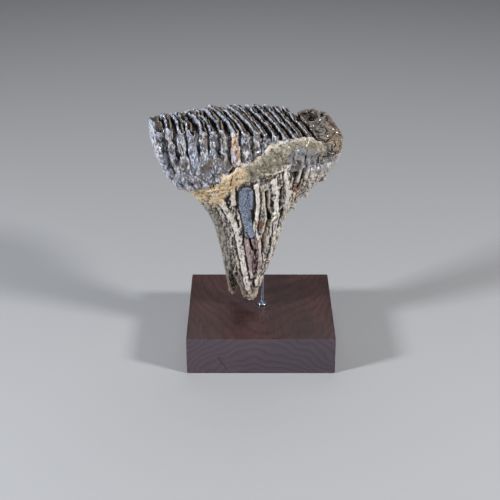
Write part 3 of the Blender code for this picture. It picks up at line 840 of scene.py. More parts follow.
def weather_roots(thing):
    """Wears furrows, clefts, cracks and grain into the fused roots, and marks where they are."""
    points, normals = points_of(thing), spread(thing, normals_of(thing), WAY_ROUNDS)
    normals /= np.linalg.norm(normals, axis=1)[:, None]
    x, y, z = points.T
    front = on_front(normals)
    in_collar = ease(near_line(points, PATCHES["collar"][0], COLLAR_REACH) * 2.0)
    lower = below(x, z, ROOT_TOP) * (1.0 - 0.8 * in_collar)
    canal = near_line(points, *BASINS[0][:2])
    canal = np.maximum(canal, near_line(points, CANAL_FOOT, CANAL_FOOT_HALF)) * front
    rolls = lumps(points, *ROLLS)
    sink = worn_skin(points, lower, rolls)

    wander = [lumps(points, *SIDE_WANDER), np.zeros(len(x)), lumps(points, *UP_WANDER)]
    bent = points + np.stack(wander, axis=1) * WANDER
    clefts, ribs = np.zeros(len(points)), np.zeros(len(points))
    for line, half_width, height in RIBS:
        ribs = np.maximum(ribs, height * ease(near_line(bent, line, half_width) * 1.3))
    sink = sink + (GROUND_DEPTH - ribs) * front * (below(x, z, SHELF) * (1.0 - 0.7 * in_collar))
    for line, half_width, depth in CLEFTS:
        amount = ease(near_line(bent, line, half_width)) * front
        sink = sink + depth * amount
        clefts = np.maximum(clefts, amount)
    for line, half_width, depth in BASINS:
        sink = sink + depth * ease(near_line(points, line, half_width) * 1.6) * front
    sink = sink - LIP_HEIGHT * ease(near_line(bent, LOWER_LINE, LIP_HALF)) * front
    floor_depth, pebble_depth, roll_depth = CANAL_DEPTHS
    canal_floor = floor_depth + pebble_depth * lumps(points, *PEBBLES) + roll_depth * rolls
    sink = mix(sink, canal_floor, ease(canal * 2.5))
    right_kept = ease((x - RIGHT_KEPT[0]) / RIGHT_KEPT[1]) * below(x, z, RIGHT_KEPT[2])
    left_kept = ease((LEFT_KEPT[0] - x) / LEFT_KEPT[1]) * below(x, z, LEFT_KEPT[2])
    sink = sink * (1.0 - KEPT_SHARE * np.maximum(right_kept, left_kept))
    worn = points - normals * np.clip(sink, 0.0, None)[:, None]
    move_points(thing, worn)

    mark(thing, "cleft", clefts)
    mark(thing, "canal", ease(canal * 2.2))
    mark(thing, "root", lower)
    for name, (line, half_width, fullness) in PATCHES.items():
        mark(thing, name, ease(near_line(worn, line, half_width) * fullness) * front)
    spots = np.max([near_line(worn, line, RED_HALF) for line in RED_SPOTS], axis=0)
    mark(thing, "red", ease(spots * 2.0) * front)
    flaked = [near_line(bent, line, half + FLAKES_WIDER) for line, half, _ in RIBS[:FLAKED_RIBS]]
    mark(thing, "flakes", ease(np.max(flaked, axis=0)) * front)
    # A band just under the cement's ragged edge and along the lip, painted cream as a highlight on the lit
    # edge.
    rim = 1.0 - np.clip(np.abs(edge_height(points) - z - 1.0) / 3.0, 0.0, 1.0)
    mark(thing, "outline", ease(np.maximum(near_line(bent, LOWER_LINE, 2.2), rim) * 1.4))
    # The faces turned to the left, which are painted darker as shade.
    mark(thing, "shaded_left_flank", ease((-normals[:, 0] - 0.25) * 3.0) * below(x, z, FLANK_TOP))
    mark(thing, "tip", below(x, z, TIP_TOP))
    mark_hollows(thing, HOLLOWS)


def make_root_finish():
    """Weathered bone and cement: brown and grey ground, cream ribs, stains, and painted shade that darkens
    the crevices, clefts and the canal's rim.
    """
    material, wire, feed = new_finish("weathered root", coat_roughness=0.16)
    own = places(wire)
    speck = clouds(own, 0.0016, 3.0, 0.65)
    patch = clouds(own, 0.009, 3.0, 0.6)
    streak = clouds(places(wire, (1.0, 1.0, 0.25)), 0.004, 4.0, 0.6)
    rust = clouds(places(wire, shift=(0.3, 0.0, 0.0)), 0.005, 4.0, 0.65)
    mottle = clouds(own, 0.0045, 4.0, 0.7)
    grain = clouds(places(wire, (1.0, 1.0, 0.5)), 0.0021, 3.0, 0.65)
    hollow, deep, wide, root, shaded_left_flank, tip = marked(wire, "hollow", "deep", "wide", "root", "shaded_left_flank", "tip")
    cement, olive, glaze, purple, red = marked(wire, "collar", "olive", "glaze", "purple", "red")
    flakes, outline, canal, cleft = marked(wire, "flakes", "outline", "canal", "cleft")
    # Paleness of the bone's grain and streaks, lowered in hollows as painted shade and raised where the
    # surface stands out as painted highlight.
    light = grain + (streak - 0.5) * 0.5 - deep * 0.16 - wide * 0.06
    open_ground = 1.0 - canal
    on_root = root * 0.6 + 0.4
    pebbles = own.node("ShaderNodeTexVoronoi", {"feature": "F1"}, {"Vector": own, "Scale": 720.0}, "Distance")
    canal_fill = coats(
        CANAL_GREY,
        (DARK_TONE_AND_SHADE, between(pebbles, 0.35, 0.90) * 0.80),
        (DARK_TONE_AND_SHADE, between(mottle, 0.50, 0.70) * 0.45),
    )
    colour = coats(
        ROOT_BROWN,
        (ROOT_GREY, between(patch, 0.40, 0.60)),
        (BONE_CREAM, between(light, 0.47, 0.59) * 0.85),
        (DARK_TONE_AND_SHADE, between(1.0 - light, 0.51, 0.63) * 0.80),
        # The left flank, painted darker as shade.
        (FLANK_GREEN_AND_SHADE, shaded_left_flank * 0.65),
        (BONE_WHITE_AND_GLINT, flakes * between(grain, 0.47, 0.56) * 0.90),
        (OLIVE, olive * 0.85),
        (BONE_CREAM, olive * between(mottle, 0.50, 0.66) * 0.60),
        (CEMENT_YELLOW, cement * between(mottle, 0.34, 0.52)),
        (CEMENT_RUST, cement * between(rust, 0.50, 0.64) * 0.80),
        (PURPLE_BROWN, purple * 0.8),
        (RED_BROWN, red * between(patch + speck * 0.4, 0.5, 0.7)),
        (TIP_GOLD, tip * between(rust, 0.42, 0.62) * 0.7),
        # Painted highlight: cream along the cement's edge and along the lip.
        (BONE_CREAM, outline * between(mottle, 0.42, 0.56) * 0.75),
        (GLAZE_GREY, glaze * between(mottle, 0.38, 0.50) * 0.8),
        # Painted shade: darker down in hollows of each size, at the rim of the sunk canal and in the clefts.
        (DARK_TONE_AND_SHADE, between(hollow, 0.30, 1.0) * 0.50 * open_ground),
        (DARK_TONE_AND_SHADE, between(deep, 0.10, 0.85) * 0.84 * open_ground * on_root),
        (DARK_TONE_AND_SHADE, between(wide, 0.20, 1.00) * 0.40 * open_ground * on_root),
        (DARK_TONE_AND_SHADE, between(canal, 0.05, 0.45) * 0.85),
        (canal_fill, between(canal, 0.40, 0.85)),
        (DARK_TONE_AND_SHADE, between(cleft, 0.25, 0.75) * 0.94),
    )
    feed("Base Color", colour)
    feed("Roughness", 0.36 + speck * 0.20 + between(deep, 0.0, 0.5) * 0.3)
    feed("Coat Weight", 0.45 * between(patch - deep * 0.4, 0.30, 0.60))
    feed("Normal", raised(speck * 0.5 + mottle * 1.2 + streak * 0.5 - pebbles * canal * 2.0, 0.0010))
    return material


roots = own_copy("neck")
lapped = []
for root_node in ("root_main", "root_small"):
    root = own_copy(root_node)
    top = max(vertex.co.z for vertex in root.data.vertices)
    for vertex in root.data.vertices:
        if vertex.co.z > top - ROOT_TOP_WITHIN:
            vertex.co.z += ROOT_LAP
    lapped.append(root)
lapped.append(cement_band())
close_shell(lapped[-1], DOUBLES)
for middle, half_sizes in LOBES:
    bpy.ops.mesh.primitive_uv_sphere_add(
        segments=LOBE_SIDES, ring_count=LOBE_RINGS, radius=MM, location=Vector(middle) * MM
    )
    lobe = bpy.context.object
    lobe.scale = half_sizes
    bpy.ops.object.transform_apply(location=True, rotation=True, scale=True)
    lapped.append(lobe)
pick(roots, *lapped)
bpy.ops.object.join()
remesh(roots, VOXEL, SOFTENING)
fill_grooves(roots)
weather_roots(roots)
pick(roots)
bpy.ops.object.shade_smooth()
finish_piece(roots, "roots_and_cement", make_root_finish(), "cement", "neck", "root_main", "root_small")

# Crown core: the cement and dentine that bind the plates, seen as dark grooves between them
# on the chewing surface and along both flanks. It is cut off square where the heel begins.
CORE_SIDES = 460
CORE_RINGS = 44
BASIN_RINGS = 34
BASIN_DEPTH = 9.0
# How far inside the crown's wall it lies, its lap into the neck and its least height
CORE_INSET = 3.3
CORE_LAP = 1.0
CORE_LEAST = 3.0
CORE_LUMPS = (6.0, 3, 2.0)
CORE_GRAIN = (1.8, 2, 4.0)
CORE_DEPTHS = (0.54, 0.35)
CORE_HOLLOWS = {"hollow": (8, 0.35)}
# The film of cement over the left front: how proud, how its two edges fade and where it starts
FILM_PROUD = 1.3
FILM_FADES = (7.0, 4.0)
FILM_FRONT = (-8.0, 10.0)
# How high cement still fills the gaps between the front columns, as x and height
FILM_EDGE = ((-104, 200), (-88, 206), (-79, 230), (-62, 234), (-46, 232), (-37, 227), (-28, 217), (-16, 205))
HEEL_CUT = 63.0
HEEL_SKEW = math.radians(6.0)
# Near black, for dark flecks and for painted shade down between the plates and in hollows.
CORE_DARK_AND_SHADE = (0.030, 0.024, 0.020, 1.0)
CORE_BROWN = (0.105, 0.078, 0.058, 1.0)
CORE_LIGHT = (0.660, 0.630, 0.610, 1.0)
CORE_BLUE = (0.150, 0.175, 0.230, 1.0)
CORE_MAUVE = (0.180, 0.130, 0.130, 1.0)


def film_inset(x, y, z):
    """The core lies deep between the plates, but a film of cement fills the left front lower down."""
    edge = np.interp(x, *np.array(FILM_EDGE, float).T)
    cement_edge = np.interp(x, *np.array(FRONT_EDGE, float).T)
    film = ease((edge - z) / FILM_FADES[0]) * ease((FILM_FRONT[0] - y) / FILM_FRONT[1])
    film = film * ease((z - cement_edge + 1.0) / FILM_FADES[1])
    return CORE_INSET - (CORE_INSET + FILM_PROUD) * film


def basin_floor(x, y, s, u):
    """Height of the worn ground that the plates stand out of."""
    return np.maximum(wear(s, u) - BASIN_DEPTH, crown_cut(x) + CORE_LEAST)


def crown_core():
    """The crown without its plates: up its wall, then inwards over the worn ground."""
    angles = np.arange(CORE_SIDES) * 2 * math.pi / CORE_SIDES
    rings = []
    for r in range(CORE_RINGS):

        def wall_height(x, y, s, u, share=r / (CORE_RINGS - 1)):
            return mix(crown_cut(x) - CORE_LAP, basin_floor(x, y, s, u), share)

        rings.append(body_ring(angles, wall_height, film_inset))
    for r in range(1, BASIN_RINGS):
        rings.append(body_ring(angles, basin_floor, CORE_INSET, 1.0 - r / BASIN_RINGS))
    return skin("crown_core", rings)


def make_core_finish():
    """Blue grey and mauve cement with pale flecks, painted nearly black as shade down between the plates and
    in its hollows.
    """
    material, wire, feed = new_finish("groove cement", coat_roughness=0.15)
    own = places(wire)
    speck = clouds(own, 0.0014, 3.0, 0.6)
    patch = clouds(own, 0.007, 3.0, 0.6)
    hollow, basin = marked(wire, "hollow", "basin")
    swirl = clouds(own, 0.010, 4.0, 0.65, 1.2)
    flecks = clouds(places(wire, (1.0, 1.0, 0.6)), 0.0020, 3.0, 0.65)
    colour = coats(
        CORE_BROWN,
        (CORE_BLUE, between(swirl, 0.40, 0.52)),
        (CORE_MAUVE, between(patch, 0.50, 0.62) * 0.7),
        (CORE_LIGHT, between(swirl * 0.4 + flecks * 0.6, 0.52, 0.58) * (1.0 - basin) * 0.90),
        (CORE_DARK_AND_SHADE, between(1.0 - flecks, 0.54, 0.66) * 0.6),
        # Painted shade: nearly black in hollows and on the floor between the plates.
        (CORE_DARK_AND_SHADE, between(hollow, -0.2, 0.6) * 0.85),
        (CORE_DARK_AND_SHADE, basin * 0.85),
    )
    feed("Base Color", colour)
    feed("Roughness", 0.32 + speck * 0.3 + basin * 0.2)
    feed("Coat Weight", 0.6 - basin * 0.6)
    feed("Normal", raised(speck * 0.6 + flecks * 0.6 + swirl, 0.0012))
    return material


core = crown_core()
close_shell(core, DOUBLES)
crown_middle, _, _, crown_turn, _ = (float(value) for value in section(WEAR["height"]))
heel_turn = crown_turn + HEEL_SKEW
heel_side = Vector((math.cos(heel_turn), math.sin(heel_turn), 0.0))
heel_at = Vector((crown_middle, 0.0, 0.0)) + heel_side * HEEL_CUT
bpy.ops.object.mode_set(mode="EDIT")
bpy.ops.mesh.select_all(action="SELECT")
bpy.ops.mesh.bisect(plane_co=heel_at * MM, plane_no=heel_side, clear_outer=True, use_fill=True)
bpy.ops.object.mode_set(mode="OBJECT")
core_points, core_normals = points_of(core), normals_of(core)
core_sink = CORE_DEPTHS[0] * (1.0 + lumps(core_points, *CORE_LUMPS))
core_sink = core_sink + CORE_DEPTHS[1] * lumps(core_points, *CORE_GRAIN)
move_points(core, core_points - core_normals * np.clip(core_sink, 0.0, None)[:, None])
mark_hollows(core, CORE_HOLLOWS)
# The up-facing floor down between the plates, which is painted nearly black as shade.
mark(core, "basin", ease(core_normals[:, 2] * 2.5 - 0.6))
pick(core)
bpy.ops.object.shade_smooth()
finish_piece(core, "crown_core", make_core_finish(), "dentine", "crown")

# Plates: sixteen flat loops of hard enamel filled with softer dentine, which wears lower and
# leaves the enamel standing as pairs of wavy, chipped ridges. Their ends show as columns.
PLATES = 16
FIRST_SKEW = math.radians(-9.0)
LAST_SKEW = math.radians(6.0)
# The left plates fan out, lean and break, which ends by this plate
FAN_PLATES = 9
FIRST_PLATE = -0.91
LAST_PLATE = 0.565
PLATE_THICK = 6.4
FOOT_THICK = 8.4
ENAMEL = 1.6
LOOP_DEPTH = 1.2
BROKEN_LOOP_DEPTH = 4.2
LOOP_MENDS = (4, 5)
TOP_TILT = 0.8
PLATE_STANDS = 17.0
PLATE_PROUD = 1.4
FOOT_SUNK = 0.8
FOOT_CLEAR = 2.0
END_DROP = 2.4
COLUMN_SWELL = 0.7
COLUMN_LEAN = 8.0
NOTCH_AT = 0.78
NOTCH_WIDTH = 0.12
NOTCH_DEPTH = 9.0
# The first plate is thicker, bowed and higher, with two round hollows in its outer face, as
# height, place across and their half sizes
FIRST_THICKER = 0.55
FIRST_BOW = 5.0
FIRST_RISE = 2.2
END_HOLLOWS = ((241.0, 0.62), (229.0, 0.72))
END_HOLLOW_SIZE = (5.0, 0.14)
END_HOLLOW_DEPTH = 2.6
# How far the plates differ from one another
PLATE_SEED = 11
PLACE_SPREAD = (-0.008, 0.008)
THICK_SPREAD = (0.88, 1.08)
BOW_SPREAD = (-1.5, 1.5)
RISE_SPREAD = (-1.3, 1.0)
TRIM_SEED = 60
NOTCH_SPREAD = (0.5, 1.0)
SWELL_SPREAD = (0.3, 1.5)
STAND_SPREAD = (-1.4, 0.6)
DROP_SPREAD = (-0.5, 5.5, 2.5)
CHIPPING = (4.8, 2.0)
# Their noises: how far apart in it two plates lie, then size, octaves, shift and drawing out
PLATE_FLUTES = (31.0, 3.2, 2, 0.0, (1.0, 1.0, 6.0))
PLATE_BULGES = (23.0, 8.0, 2, 3.0, (1.0, 1.0, 1.5))
PLATE_PITS = (17.0, 1.7, 2, 5.0, (1.0, 1.0, 1.4))
PLATE_BREAKS = (3.0, 7.0, 2, 6.0, (1.0, 1.0, 1.6))
PLATE_SNAPS = (13.0, 8.0, 2, 8.0)
PLATE_WAISTS = (11.0, 9.0, 2)
PLATE_SWAY = (7.0, 12.0, 2)
PLATE_STRAY = (5.0, 16.0, 2)
WAIST = 1.1
SWAY = 1.3
STRAY = 1.5
# Wear of the walls in mm, and where along a plate its worn end and its knob begin and how soft
WALL_DEPTH = 0.35
WALL_FLUTE = 0.6
WALL_BULGE = 1.6
WALL_BREAK = 1.5
WALL_PIT = 0.18
BREAK_FROM = (0.16, 0.07)
DENT_LIMITS = (-0.3, 2.8)
END_FROM = (0.70, 0.2)
KNOB_FROM = (0.80, 0.12)
KNOB_EASE = 0.45
CHIP_FROM = (0.08, 0.08)
CHIP_STEP = 0.35
ARC_STEPS = 30
SIDE_STEPS = 110
WALL_RINGS = 46
CREST_RINGS = 7
INNER_RINGS = 4
VALLEY_RINGS = 4
CREST_ROUND = 0.55
INNER_SLOPE = 0.3
VALLEY_DISH = 0.35
INNER_SHARE = 0.93
CEMENT_HEIGHT = 209.0
CEMENT_SLOPE = 0.20
PLATE_HOLLOWS = {"hollow": (5, 0.22), "deep": (40, 1.3)}
# Bluish white: the enamel's pale tone with a painted highlight, on the crests and in small glints.
ENAMEL_WHITE_AND_HIGHLIGHT = (0.580, 0.655, 0.820, 1.0)
ENAMEL_BLUE = (0.110, 0.135, 0.190, 1.0)
ENAMEL_BEIGE = (0.230, 0.165, 0.110, 1.0)
DENTINE_BROWN = (0.070, 0.048, 0.034, 1.0)
DENTINE_LIGHT = (0.260, 0.190, 0.130, 1.0)
# Dark brown, for stains and for painted shade on the walls between plates.
STAIN_AND_GAP_SHADE = (0.034, 0.026, 0.021, 1.0)
COLUMN_TONES = (
    (0.56, 0.57, 0.64), (0.34, 0.34, 0.41), (0.27, 0.23, 0.23), (0.30, 0.32, 0.41), (0.24, 0.20, 0.17),
    (0.15, 0.17, 0.24), (0.42, 0.36, 0.30), (0.68, 0.43, 0.27), (0.17, 0.14, 0.12), (0.26, 0.23, 0.21),
    (0.18, 0.17, 0.20), (0.20, 0.18, 0.21), (0.17, 0.18, 0.22), (0.20, 0.19, 0.18), (0.18, 0.17, 0.18),
    (0.20, 0.17, 0.14),
)
# The orange column keeps its tone. The others take on one of the front tones in patches.
ORANGE_PLATE = 7
FRONT_TONES = 7
NEXT_TONE = 3
# Stain in the first plate's valley, and how much less in each plate after it
VALLEY_STAIN = (0.85, 0.11)


def loop_outline():
    """A plate's plan outline in unit parts: across it, round its ends and along its straights."""
    across, round_part, straight_part = [], [], []
    for end in (1, -1):
        for i in range(ARC_STEPS + 1):
            a = math.pi * i / ARC_STEPS
            across.append(end * math.cos(a))
            round_part.append(end * math.sin(a))
            straight_part.append(end)
        for i in range(1, SIDE_STEPS):
            across.append(-end)
            round_part.append(0.0)
            straight_part.append(end * (1.0 - 2.0 * i / SIDE_STEPS))
    return np.array(across), np.array(round_part), np.array(straight_part, float)


ACROSS, ROUND_END, STRAIGHT = loop_outline()


def beyond(values, start_and_width):
    """0 up to the start and 1 from that width past it."""
    start, width = start_and_width
    return ease((values - start) / width)


class Plate:
    """One plate with its own place, size, lean and damage."""

    def __init__(self, index, chance):
        fan = min(1.0, index / FAN_PLATES)
        first = index == 0
        self.index = index
        self.place = mix(FIRST_PLATE, LAST_PLATE, index / (PLATES - 1)) + chance.uniform(*PLACE_SPREAD)
        self.thick = chance.uniform(*THICK_SPREAD) + (FIRST_THICKER if first else 0.0)
        self.bow = chance.uniform(*BOW_SPREAD) + (FIRST_BOW if first else 0.0)
        self.rise = chance.uniform(*RISE_SPREAD) + FIRST_RISE * max(0.0, 1.0 - index / 2)
        self.skew = math.tan(mix(FIRST_SKEW, LAST_SKEW, fan))
        middle, length, _, turn, self.power = (float(value) for value in section(WEAR["height"]))
        self.top_s = self.place * length
        foot = CEMENT_HEIGHT + CEMENT_SLOPE * (middle + self.top_s * math.cos(turn))
        self.foot = min(foot, wear(self.top_s, 0.0) - PLATE_STANDS)
        self.lean = COLUMN_LEAN * float(ease((index - 1) / 5))
        trim = random.Random(TRIM_SEED + index)
        self.notch = NOTCH_DEPTH * trim.uniform(*NOTCH_SPREAD) * max(0.0, 1.0 - index / (FAN_PLATES + 2))
        self.swell = COLUMN_SWELL * trim.uniform(*SWELL_SPREAD)
        self.stand_out = trim.uniform(*STAND_SPREAD)
        least, most_left, most_right = DROP_SPREAD
        self.end_drop = END_DROP + trim.uniform(least, mix(most_left, most_right, fan))
        self.chipping = mix(*CHIPPING, fan)
        mended = float(ease((index - LOOP_MENDS[0]) / LOOP_MENDS[1]))
        self.loop_depth = LOOP_DEPTH if first else mix(BROKEN_LOOP_DEPTH, LOOP_DEPTH, mended)

    def noise(self, spots, kind):
        """The plate's own noise, read that far from the next plate's."""
        apart, *rest = kind
        return lumps(spots + self.index * apart, *rest)

    def dents(self, spot, level, reach, at_end, pits, rough):
        """How far the wall is worn in at each point of a ring."""
        broken = beyond(self.noise(spot, PLATE_BREAKS), BREAK_FROM) * at_end
        bulge = self.noise(spot, PLATE_BULGES)
        dent = WALL_DEPTH + WALL_FLUTE * self.noise(spot, PLATE_FLUTES) + WALL_BULGE * bulge * at_end
        dent = rough * (dent + WALL_BREAK * broken * min(1.0, 9.0 * (1.0 - level)))
        dent = np.clip(dent + WALL_PIT * pits, *DENT_LIMITS)
        if self.index == 0:
            for hollow_height, hollow_place in END_HOLLOWS:
                up = (spot[:, 2] - hollow_height) / END_HOLLOW_SIZE[0]
                gap = np.hypot(up, (spot[:, 1] / reach + hollow_place) / END_HOLLOW_SIZE[1])
                dent = dent + END_HOLLOW_DEPTH * ease(1.3 - gap) * (ACROSS < 0.3)
        return dent

    def ring(self, level, inset, sink, rough):
        """The ring at a level from foot to top, set inside the wall and sunk below the crest."""
        high = mix(self.foot, wear(self.top_s, 0.0), level)
        _, long, deep, _, _ = (float(value) for value in section(high))
        reach = deep * (1.0 - abs(self.place) ** self.power) ** (1 / self.power)
        reach += mix(-FOOT_SUNK, PLATE_PROUD, float(ease(level * 1.5))) + self.stand_out
        half = self.thick * mix(FOOT_THICK, PLATE_THICK, float(ease(level))) / 2
        straight = reach - half
        flat, tall = 0.0 * ACROSS, 0.0 * ACROSS + high
        spot = np.stack([ACROSS * 2.0, STRAIGHT * straight + ROUND_END * half, tall], axis=1)
        near_end = np.abs(spot[:, 1] / reach)
        at_end = beyond(near_end, END_FROM)
        pits = self.noise(spot, PLATE_PITS)
        dent = self.dents(spot, level, reach, at_end, pits, rough)
        knob = self.swell * beyond(near_end, KNOB_FROM) * (1.0 - KNOB_EASE * level**8)
        waist = WAIST * at_end * self.noise(np.stack([flat, flat, tall], axis=1), PLATE_WAISTS)
        wide = np.maximum(half + knob + waist - inset - dent, 0.0)
        u = STRAIGHT * straight + ROUND_END * np.maximum(half - inset - dent, 0.0)
        sway = SWAY * self.noise(np.stack([flat, u, flat], axis=1), PLATE_SWAY)
        apart, *kind = PLATE_STRAY
        stray = STRAY * lumps(np.array([[self.index * apart, 0.0, high]]), *kind)[0] * at_end * (1.0 - level)
        s = self.place * long + stray - self.lean * (1.0 - level) + ACROSS * wide
        s = s + self.bow * (near_end**2 - 0.5) * level - u * self.skew + sway * level
        snap = self.noise(spot, PLATE_SNAPS)
        chip = (np.clip(snap, -0.10, 1.0) + CHIP_STEP * beyond(snap, CHIP_FROM)) * self.chipping
        chip = chip + 0.2 * tops(pits)
        notch = self.notch * np.exp(-(((near_end - NOTCH_AT) / NOTCH_WIDTH) ** 2))
        z = mix(self.foot, wear(s, u) + self.rise, level) - self.end_drop * near_end**6 * level - sink
        z = z - (chip + notch + TOP_TILT * (ACROSS * wide / half + 1.0)) * level**9
        x, y = to_world(high, s, u)
        return np.stack([x, y, np.maximum(z, crown_cut(x) + FOOT_CLEAR)], axis=1)


def plate_rings(one):
    """A plate's rings: up the wall, over the crest, down its inside and in over the dentine.
    Each comes with how far it is crest and how far it is dentine."""
    rings = []
    for r in range(WALL_RINGS):
        level = (r / (WALL_RINGS - 1)) ** 0.8
        sink = CREST_ROUND * max(0.0, level - 0.96) * 25
        rings.append((one.ring(level, 0.0, sink, 1.0), float(ease((level - 0.93) * 20)), 0.0))
    for r in range(1, CREST_RINGS):
        a = math.pi * r / CREST_RINGS
        inset, sink = ENAMEL / 2 * (1.0 - math.cos(a)), CREST_ROUND * (1.0 - math.sin(a))
        rings.append((one.ring(1.0, inset, sink, 1.0), 1.0, r / CREST_RINGS * 0.6))
    for r in range(1, INNER_RINGS + 1):
        share = r / INNER_RINGS
        inset, sink = ENAMEL + INNER_SLOPE * share, mix(CREST_ROUND, one.loop_depth, share)
        rings.append((one.ring(1.0, inset, sink, 1.0 - share * 0.3), 1.0 - share, mix(0.6, 1.0, share)))
    for r in range(1, VALLEY_RINGS + 1):
        share = r / VALLEY_RINGS
        inset = mix(ENAMEL + INNER_SLOPE, one.thick * PLATE_THICK / 2 + COLUMN_SWELL + 1.0, share)
        sink = one.loop_depth + VALLEY_DISH * math.sin(share * math.pi / 2)
        rings.append((one.ring(1.0, inset, sink, 0.7 * (1.0 - share)), 0.0, 1.0))
    return zip(*rings)


def make_plate_finish(index):
    """Enamel in the plate's own tone with pale flecks painted as glints, its crest bluish white with a
    painted highlight on the left side and beige on the right, brown dentine inside the loop, and painted
    shade between the plates and in hollows.
    """
    material, wire, feed = new_finish(f"enamel {index + 1}", coat_roughness=0.12, specular_ior_level=0.6)
    own = places(wire)
    aside, along_it = (0.1 * index, 0.0, 0.0), (0.0, 0.1 * index, 0.0)
    speck = clouds(own, 0.0013, 3.0, 0.65)
    patch = clouds(places(wire, (1.0, 1.0, 0.5)), 0.006, 3.0, 0.6)
    streak = clouds(places(wire, (1.0, 1.0, 0.18)), 0.0018, 2.0, 0.6)
    blotch = clouds(places(wire, (1.0, 1.0, 0.6), shift=aside), 0.004, 3.0, 0.65)
    cloud = clouds(places(wire, (1.0, 1.0, 0.6), shift=along_it), 0.008, 3.0, 0.6)
    flecks = clouds(places(wire, (1.0, 1.0, 0.5), shift=along_it), 0.0020, 3.0, 0.65)
    crest, pulp, hollow, deep = marked(wire, "crest", "pulp", "hollow", "deep")
    right_side, gap_shade = marked(wire, "right_side", "gap_shade")
    other_tone = (*COLUMN_TONES[(index * NEXT_TONE + 1) % FRONT_TONES], 1.0)
    wall = coats(
        (*COLUMN_TONES[index], 1.0),
        (other_tone, between(cloud, 0.49, 0.56) * (0.25 if index == ORANGE_PLATE else 0.6)),
        (STAIN_AND_GAP_SHADE, between(blotch, 0.48, 0.60) * 0.80),
        (ENAMEL_BLUE, between(patch, 0.50, 0.62) * 0.62),
        (STAIN_AND_GAP_SHADE, between(1.0 - flecks, 0.53, 0.64) * 0.80),
        # Pale flecks on the walls, painted as small glints.
        (BONE_WHITE_AND_GLINT, between(flecks * 0.7 + cloud * 0.3, 0.53, 0.58) * 0.85),
        (ENAMEL_WHITE_AND_HIGHLIGHT, between(flecks * 0.7 + patch * 0.3, 0.54, 0.58) * 0.90),
        # The walls that face the next plate, painted nearly black as shade.
        (STAIN_AND_GAP_SHADE, gap_shade * 0.95),
    )
    # The crest: bluish white as painted highlight on the side towards the left lamp, beige on the right side.
    ridge = coats(
        ENAMEL_WHITE_AND_HIGHLIGHT,
        (ENAMEL_BLUE, between(speck, 0.46, 0.62) * 0.7),
        (ENAMEL_BEIGE, right_side * 0.9),
        (STAIN_AND_GAP_SHADE, between(blotch, 0.50, 0.62) * 0.8),
    )
    valley = coats(
        DENTINE_LIGHT,
        (DENTINE_BROWN, between(blotch * 0.6 + speck * 0.4, 0.46, 0.60)),
        (STAIN_AND_GAP_SHADE, max(0.0, VALLEY_STAIN[0] - VALLEY_STAIN[1] * index)),
    )
    colour = coats(
        wall,
        (ridge, crest),
        (valley, pulp),
        # Painted shade: darker down in deep and small hollows.
        (DARK_TONE_AND_SHADE, between(deep, 0.12, 0.60) * 0.85),
        (DARK_TONE_AND_SHADE, between(hollow, 0.10, 0.8) * 0.8),
    )
    feed("Base Color", colour)
    feed("Roughness", 0.26 + speck * 0.25 + pulp * 0.2)
    feed("Coat Weight", 0.70 - pulp * 0.4)
    feed("Normal", raised(speck * 0.7 + streak * 0.5 + blotch * 0.8, 0.0011))
    return material


plate_chance = random.Random(PLATE_SEED)
for number in range(PLATES):
    plate_outlines, crest_marks, pulp_marks = plate_rings(Plate(number, plate_chance))
    plate = skin("plate", plate_outlines)
    # Straight walls that face a neighbouring plate get painted shade; the first plate's outer face does not.
    between_plates = np.abs(STRAIGHT) < INNER_SHARE
    if number == 0:
        between_plates = between_plates & (ACROSS > 0.0)
    # The plate's right side, where the crest keeps its beige tone without the painted highlight.
    right_side_share = ease((ACROSS + 0.35) / 0.7)
    mark(plate, "crest", np.append(np.repeat(crest_marks, len(ACROSS)), [0.0, 0.0]))
    mark(plate, "pulp", np.append(np.repeat(pulp_marks, len(ACROSS)), [0.0, 1.0]))
    mark(plate, "right_side", np.append(np.tile(right_side_share, len(crest_marks)), [0.0, 0.0]))
    mark(plate, "gap_shade", np.append(np.tile(between_plates, len(crest_marks)), [1.0, 0.0]))
    close_shell(plate)
    mark_hollows(plate, PLATE_HOLLOWS)
    bpy.ops.object.shade_smooth()
    finish_piece(plate, f"plate_{number + 1:02d}", make_plate_finish(number), "enamel")

# Heel: the low lump behind the last plate, of dentine and cement with a round pit worn in its
# top, wrinkled skin round the pit and a glossy grey face towards the front.
HEEL_VOXEL = 0.0005
HEEL_SOFTENING = 12
HEEL_BROWN = (0.050, 0.036, 0.028, 1.0)
HEEL_GREY = (0.075, 0.070, 0.070, 1.0)
# Cream of the heel's mottling and wrinkles, also used for painted highlight on its proud knots and edges.
HEEL_CREAM_AND_HIGHLIGHT = (0.440, 0.360, 0.280, 1.0)
HEEL_GOLD = (0.210, 0.130, 0.062, 1.0)
PIT_PURPLE = (0.045, 0.026, 0.026, 1.0)
PIT_MIDDLE = (49.0, 35.0)
PIT_RADIUS = 9.5
PIT_DEPTH = 3.0
PIT_RIM = (1.15, 0.18)
GOLD_FROM = (66.0, 8.0)
# Its noises and lines, written as those of the roots are, and how deep each wears
HEEL_SWELL = (9.0, 2, 3.0)
HEEL_GRAIN = (1.5, 2, 6.0)
HEEL_KNOTS = (10.0, 3, 11.0)
HEEL_CREASES = (8.0, 0.22, 2, 2.0, (2.0, 1.0, 1.0))
HEEL_FOLDS = (16.0, 0.14, 2, 21.0)
HEEL_RIBS = (9.0, 0.25, 2, 9.0, (1.0, 1.0, 5.0))
HEEL_SWELL_DEPTH = 0.9
HEEL_CREASE_DEPTH = 1.2
HEEL_GRAIN_DEPTH = 0.3
HEEL_KNOT_DEPTH = 2.6
HEEL_FOLD_DEPTH = 1.8
HEEL_RIB_DEPTH = 2.6
HEEL_HOLLOWS = {"hollow": (6, 0.18), "deep": (50, 1.0)}


